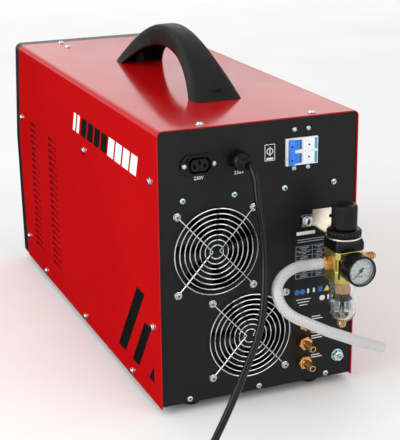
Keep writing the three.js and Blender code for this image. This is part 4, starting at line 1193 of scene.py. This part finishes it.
def letters(name, text, size, place, finish):
    """Generic lettering that faces out of the rear panel."""
    curve = bpy.data.curves.new(name, "FONT")
    curve.body, curve.size = text, size * MM
    curve.align_x, curve.align_y = "CENTER", "CENTER"
    curve.extrude = 0.05 * MM
    curve.materials.append(MATERIALS[finish])
    obj = bpy.data.objects.new(name, curve)
    bpy.context.scene.collection.objects.link(obj)
    outwards = Matrix(((-1, 0, 0), (0, 0, 1), (0, 1, 0)))
    obj.matrix_world = Matrix.Translation(spot(place)) @ outwards.to_4x4()
    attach(obj, "machine")


def make_filter():
    bowl = [(3.5, 121), (7.5, 121.1), (11, 122.0), (14, 124.4), (16.4, 128), (17.3, 132), (17.4, 136),
            (17.4, 171), (18.0, 172), (18.0, 176.4), (15.2, 176.6), (15.2, 134), (14.9, 131.6),
            (13.4, 127.8), (10.2, 125), (7, 123.9), (3.5, 123.8)]
    piece("clear_bowl", Shell(CENTRE).turned(bowl, 72, closed=True), "clear",
            replaces=["filter_bowl"])
    element = Shell(CENTRE).turned([(3, 159.4), (7.6, 159.2), (8.6, 160), (8.6, 176.6), (7.6, 177.2),
            (3, 177.2)], 48, closed=True)
    piece("bronze_element", element, "bronze", replaces=["filter_element"])
    baffle = Shell(CENTRE)
    baffle.turned([(2.2, 140), (3, 141), (4, 149), (11.8, 150.6), (12.5, 151.4), (12.5, 153), (11.6, 153.8),
            (8, 158.4), (6, 158.6)], 48)
    baffle.turned([(8.4, 156.6), (9.6, 157.4), (9.6, 158.9), (8.4, 159.1)], 40)
    piece("swirl_baffle", baffle, "plastic", replaces=["filter_baffle"], bevel=0.2)
    vanes = Shell(CENTRE)
    for vane in range(10):
        vanes.prism([(3, -0.5), (11.4, -0.5), (11.4, 0.5), (3, 0.5)], 133.5, 150.4, turn=vane * 36 + 8)
    piece("baffle_vanes", vanes, "chrome")
    drain = Shell(CENTRE)
    drain.turned([(2.2, 111), (4.2, 111), (5.0, 111.6), (5.6, 113), (5.6, 117.4), (5.0, 118.2),
            (3.0, 118.5), (3.0, 124.6), (4.6, 124.7), (5.0, 125.2), (5.0, 126.2), (3.2, 127), (2.6, 131)],
            40)
    for ridge in range(14):
        t = math.radians(ridge * 360 / 14)
        place = (CENTRE[0] + 5.5 * math.cos(t), CENTRE[1] + 5.5 * math.sin(t), 0)
        drain.turned([(0.45, 113.4), (0.45, 117.2)], 8, centre=place)
    piece("drain_button", drain, "drain", "drain_valve", ["drain_valve"], sharp=45)
    collar = Shell(CENTRE).turned([(6.3, 119.1), (7.9, 119.4), (8.1, 120.7), (6.3, 121.0)], 40, closed=True)
    piece("drain_collar", collar, "brass", bevel=0.2)


# ---------------------------------------------------------------- labels and decals
# How low and how high printed marks and thin lines lie over the panel.
MARK = (0.2, 0.36)
SWITCH_SIGN_X = -13.75
LINE = (0.2, 0.32)


def outline_ring(width, height):
    """The four outlines of a thin raised frame with round corners."""
    outer, inner = rounded(width, height, 0.8), rounded(width - 1.4, height - 1.4, 0.5)
    low, high = MARK
    return [(outer, low), (outer, high), (inner, high), (inner, low)]


def make_labels():
    """Generic plates and marks in the places where such a machine has them."""
    x_mid, z_mid = -84.7, 176.5
    plate = bar(Shell(), x_mid, z_mid, 70, 107, 0.0, 0.25, 2.0)
    bar(plate, SWITCH_SIGN_X, 339.5, 15.5, 23, 0.0, 0.25, 1.0)
    piece("rating_plate", plate, "plate")
    lines = Shell()
    top = z_mid + 53.5
    for i, width in enumerate((60, 60)):
        bar(lines, x_mid, top - 14 - i * 3.2, width, 1.1, 0.2, 0.34, 0.2)
    frame_z = [top - 23 - i * 6.4 for i in range(8)]
    for z in frame_z:
        bar(lines, x_mid, z, 64, 0.5, *LINE, 0.1)
    for x in (-32, -12, 8, 32):
        bar(lines, x_mid + x, (frame_z[0] + frame_z[-1]) / 2, 0.5, frame_z[0] - frame_z[-1], *LINE, 0.1)
    for row in range(7):
        for column, (x, width) in enumerate(((-22, 14), (-2, 14), (20, 18))):
            share = 0.55 + 0.4 * ((row * 5 + column * 3) % 4) / 3
            bar(lines, x_mid + x, frame_z[row] - 2.1, width * share, 0.9, *LINE, 0.2)
            bar(lines, x_mid + x, frame_z[row] - 4.3, width * (1.25 - share), 0.9, *LINE, 0.2)
    piece("rating_lines", lines, "grey_print")
    row_z = 143
    signs = Shell()
    for x in (29.5, 21.3):
        signs.turned([(3.8, 0.2), (3.8, 0.36)], 28, centre=(x_mid + x, 0, row_z), axis="y")
    bar(signs, x_mid - 5, row_z, 6.4, 7.4, *MARK, 1.4)
    piece("plate_signs_blue", signs, "label_blue")
    triangle = [(-4.8, -3.8), (4.8, -3.8), (0, 4.4)]
    warn = Shell().prism(triangle, *MARK, centre=(x_mid - 15, 0, row_z), axis="y")
    piece("plate_sign_yellow", warn, "yellow")
    white = Shell()
    for x in (13.2, 4.6):
        bar(white, x_mid + x, row_z, 3.0, 6.4, *MARK, 1.2)
    bar(white, x_mid + 18, top - 5.0, 27, 4.6, *MARK, 0.5)
    bar(white, x_mid - 8, row_z - 13, 8, 7, *MARK, 3.0)
    bar(white, x_mid - 20, row_z - 13, 8, 7, *MARK, 1.2)
    bar(white, x_mid - 31, row_z - 13, 6, 6, *MARK, 1.0)
    for i in range(3):
        bar(white, x_mid + 20, row_z - 11 - i * 4, 22 - 5 * i, 1.0, *LINE, 0.3)
    white.stack(outline_ring(14.4, 21.6), closed=True, centre=(SWITCH_SIGN_X, 0, 339.5), axis="y")
    bar(white, SWITCH_SIGN_X, 331.4, 9.5, 2.4, *MARK, 0.6)
    white.turned([(4.6, 0.2), (4.6, 0.36), (3.6, 0.36), (3.6, 0.2)], 28, closed=True,
            centre=(SWITCH_SIGN_X, 0, 341), axis="y")
    bar(white, SWITCH_SIGN_X, 341, 1.2, 12, *MARK, 0.4)
    for x, z in ((-84, 103), (-84, 75), (-84, 47)):
        bar(white, x, z + 1.7, 13, 1.2, 0.0, 0.14, 0.4)
        bar(white, x - 2, z - 1.7, 16, 1.2, 0.0, 0.14, 0.4)
    piece("panel_marks", white, "print")
    letters("voltage_outlet", "230V", 6.4, (83.8, 0.12, 317.5), "print")
    letters("voltage_supply", "230V", 6.4, (29, 0.12, 318.5), "print")


def side_prism(shell, outline, side, thick=0.14):
    """A flat decal on a side of the cover, drawn in y and z."""
    base = side * COVER["half"]
    return shell.loft([[(base + side * lift, y, z) for y, z in outline] for lift in (0.0, thick)])


def make_decals():
    """Plain two-tone bands high on each side, and slanted bars at the lower rear corner."""
    for side, where in ((1, "left"), (-1, "right")):
        dark, light = Shell(), Shell()
        slant = 10
        blocks = [(-352, -341, light), (-334, -323, light)]
        blocks += [(-314 + 30.5 * k, -290 + 30.5 * k, dark) for k in range(4)]
        blocks += [(-192 + 30.5 * k, -168 + 30.5 * k, light) for k in range(4)]
        for start, end, shell in blocks:
            outline = [(start, 306), (end, 306), (end + slant, 334), (start + slant, 334)]
            side_prism(shell, outline, side)
        for y, z_top, z_low, wide, run in ((-54, 152, 38, 30, -84), (-31, 112, 38, 26, -52)):
            side_prism(dark, [(y - wide, z_top), (y, z_top), (y + run, z_low), (y + run - wide, z_low)],
                    side)
        side_prism(dark, [(-24, 62), (-24, 38), (-44, 38)], side)
        piece(f"side_bands_dark_{where}", dark, "decal")
        piece(f"side_bands_light_{where}", light, "print")


# ---------------------------------------------------------------- front controls
PANEL_FACE = {"low": -676, "kink": -688, "top": -664}
# Heights of the front controls, and how far the knob and the sockets lie from the middle.
ROWS = {"display": 300, "button": 252, "stripes": 190, "sockets": 105}
ASIDE = 70


def on_front(shell, z):
    """Moves a shell drawn about a point of the front, with y out of its back, onto the leaning panel."""
    lean = math.atan2(kinked(z - 1, PANEL_FACE) - kinked(z + 1, PANEL_FACE), 2)
    c, s = math.cos(lean), math.sin(lean)
    face = kinked(z, PANEL_FACE)
    shell.points = [(x, face + y * c - h * s, z + y * s + h * c) for x, y, h in shell.points]
    return shell


def make_front():
    knob = Shell((ASIDE, 0, 0), "y")
    outline = ribbed(17.5, 24, 0.8)
    levels = [(outline, -0.8), (outline, -6.4), (scaled(outline, 0.86), -8.4),
            (scaled(outline, 0.8), -19.6), (scaled(outline, 0.74), -21.3), (scaled(outline, 0.5), -21.5),
            (scaled(outline, 0.04), -21.5)]
    knob.stack(levels)
    knob.turned([(4, -0.8), (4, 12)], 28)
    piece("current_dial", on_front(knob, ROWS["display"]), "plastic", "current_knob",
            ["current_knob"], sharp=50)
    pointer = Shell().prism(rounded(1.6, 9, 0.6), -21.8, -21.2, centre=(ASIDE, 0, 8), axis="y")
    piece("current_dial_pointer", on_front(pointer, ROWS["display"]), "print",
            "current_knob")
    scale = Shell(axis="y")
    for i in range(11):
        t = math.radians(225 - 27 * i)
        scale.prism(rounded(1.2, 4.4, 0.5), -0.25, 0.0, centre=(ASIDE + 24.5 * math.cos(t), 0,
                24.5 * math.sin(t)), turn=math.degrees(t) - 90)
    piece("current_scale", on_front(scale, ROWS["display"]), "print")
    window = Shell(axis="y")
    window.prism(rounded(91.6, 49.6, 3, (-45, 6)), -3.0, 0.5)
    window.prism(rounded(90, 48, 3, (-45, 6)), 0.5, 7.8)
    piece("display_panel", on_front(window, ROWS["display"]), "display",
            replaces=["display_window"], bevel=0.6)
    digits = Shell(axis="y")
    for place in (-62, -45, -28):
        for a, b, wide, tall in ((0, 14, 9, 1.8), (0, 0, 9, 1.8), (0, -14, 9, 1.8), (-6, 7, 1.8, 11),
                (6, 7, 1.8, 11), (-6, -7, 1.8, 11), (6, -7, 1.8, 11)):
            digits.prism(rounded(wide, tall, 0.8), -3.12, -2.9, centre=(place + a, 0, 6 + b))
    piece("display_digits", on_front(digits, ROWS["display"]), "digits")
    button = Shell().turned([(5, 10), (5, -3.2), (4.6, -4.1), (3.6, -4.4)], 36, axis="y")
    piece("mode_key", on_front(button, ROWS["button"]), "blue", "mode_button",
            ["mode_button"])
    bush = Shell(axis="y").turned([(5.3, 0.0), (8, 0.0), (8, -1.2), (7.4, -1.7), (5.3, -1.7)], 40,
            closed=True)
    for x in (-24, 24):
        bush.turned([(2.6, 0), (2.6, -1.4), (1.8, -2.2)], 28, centre=(x, 0, 0))
    piece("mode_bush", on_front(bush, ROWS["button"]), "nickel")
    torch = Shell((ASIDE, 0, 0), "y").turned([(13, 20), (13, -0.5), (19, -0.5), (19, -4.6), (18.4, -5),
            (15.6, -6.4), (15, -7), (15, -10), (14.4, -10.6), (14.4, -12), (15, -12.6), (15, -21.4),
            (14.4, -22), (9.6, -22), (9, -21.4), (9, 4), (8.6, 4.2)], 56)
    for t in angles(4, 45, 405):
        torch.turned([(1.3, 3.9), (1.3, -14)], 16, centre=(ASIDE + 5 * math.cos(t), 0, 5 * math.sin(t)))
    piece("torch_socket", on_front(torch, ROWS["sockets"]), "brass",
            replaces=["torch_connector"], bevel=0.2)
    clamp = Shell((-ASIDE, 0, 0), "y").turned([(11, 20), (11, -0.5), (17, -0.5), (17, -5.4), (16.4, -6),
            (14.4, -8.6), (13.8, -9), (7.6, -9), (7, -8.4), (7, 8), (6.6, 8.2)], 56)
    piece("clamp_socket", on_front(clamp, ROWS["sockets"]), "plastic",
            replaces=["work_clamp_socket"], bevel=0.3)
    stripes = Shell(axis="y")
    for i in range(3):
        stripes.prism(rounded(150 - 36 * i, 3, 1.0), -0.22, 0.0, centre=(0, 0, -8 * i))
    piece("front_stripes", on_front(stripes, ROWS["stripes"]), "label_blue")


# ---------------------------------------------------------------- the whole machine
DRESSED = {"cover_shell": ("red", 0.35), "base_pan": ("case", 0.3), "rear_panel": ("panel", 0.45),
    "front_bezel": ("case", 1.6), "front_panel": ("case", 0.3), "mid_shelf": ("zinc", 0.3),
    "outlet_socket": ("plastic", 0.3), "breaker_body": ("white", 0.4),
    "regulator_bracket": ("nickel", 0.35), "regulator_body": ("gilt", 1.1),
    "power_transformer": ("copper", 1.0), "heatsink": ("aluminium", 0.4), "inverter_board": ("board", 0.3),
    "smoothing_capacitor": ("plastic", 0.8), "output_choke": ("copper", 1.0),
    "solenoid_valve": ("brass", 0.8), "control_board": ("board", 0.3)}

make_camera()
make_floor()
make_flag()
make_light()
make_mains_cable()
make_air_hose()
make_case_screws()
make_rivets()
make_louvres()
make_handle()
make_feet()
for fan in ("upper", "lower"):
    make_fan(fan)
    make_guard(fan)
make_breaker()
make_lever()
make_gland()
make_earth_bolt()
make_gas_fittings()
make_regulator()
make_casting()
make_bracket()
make_gauge()
make_filter()
make_labels()
make_decals()
make_front()
for node_name, (node_finish, node_bevel) in DRESSED.items():
    dress(node_name, node_finish, node_bevel)
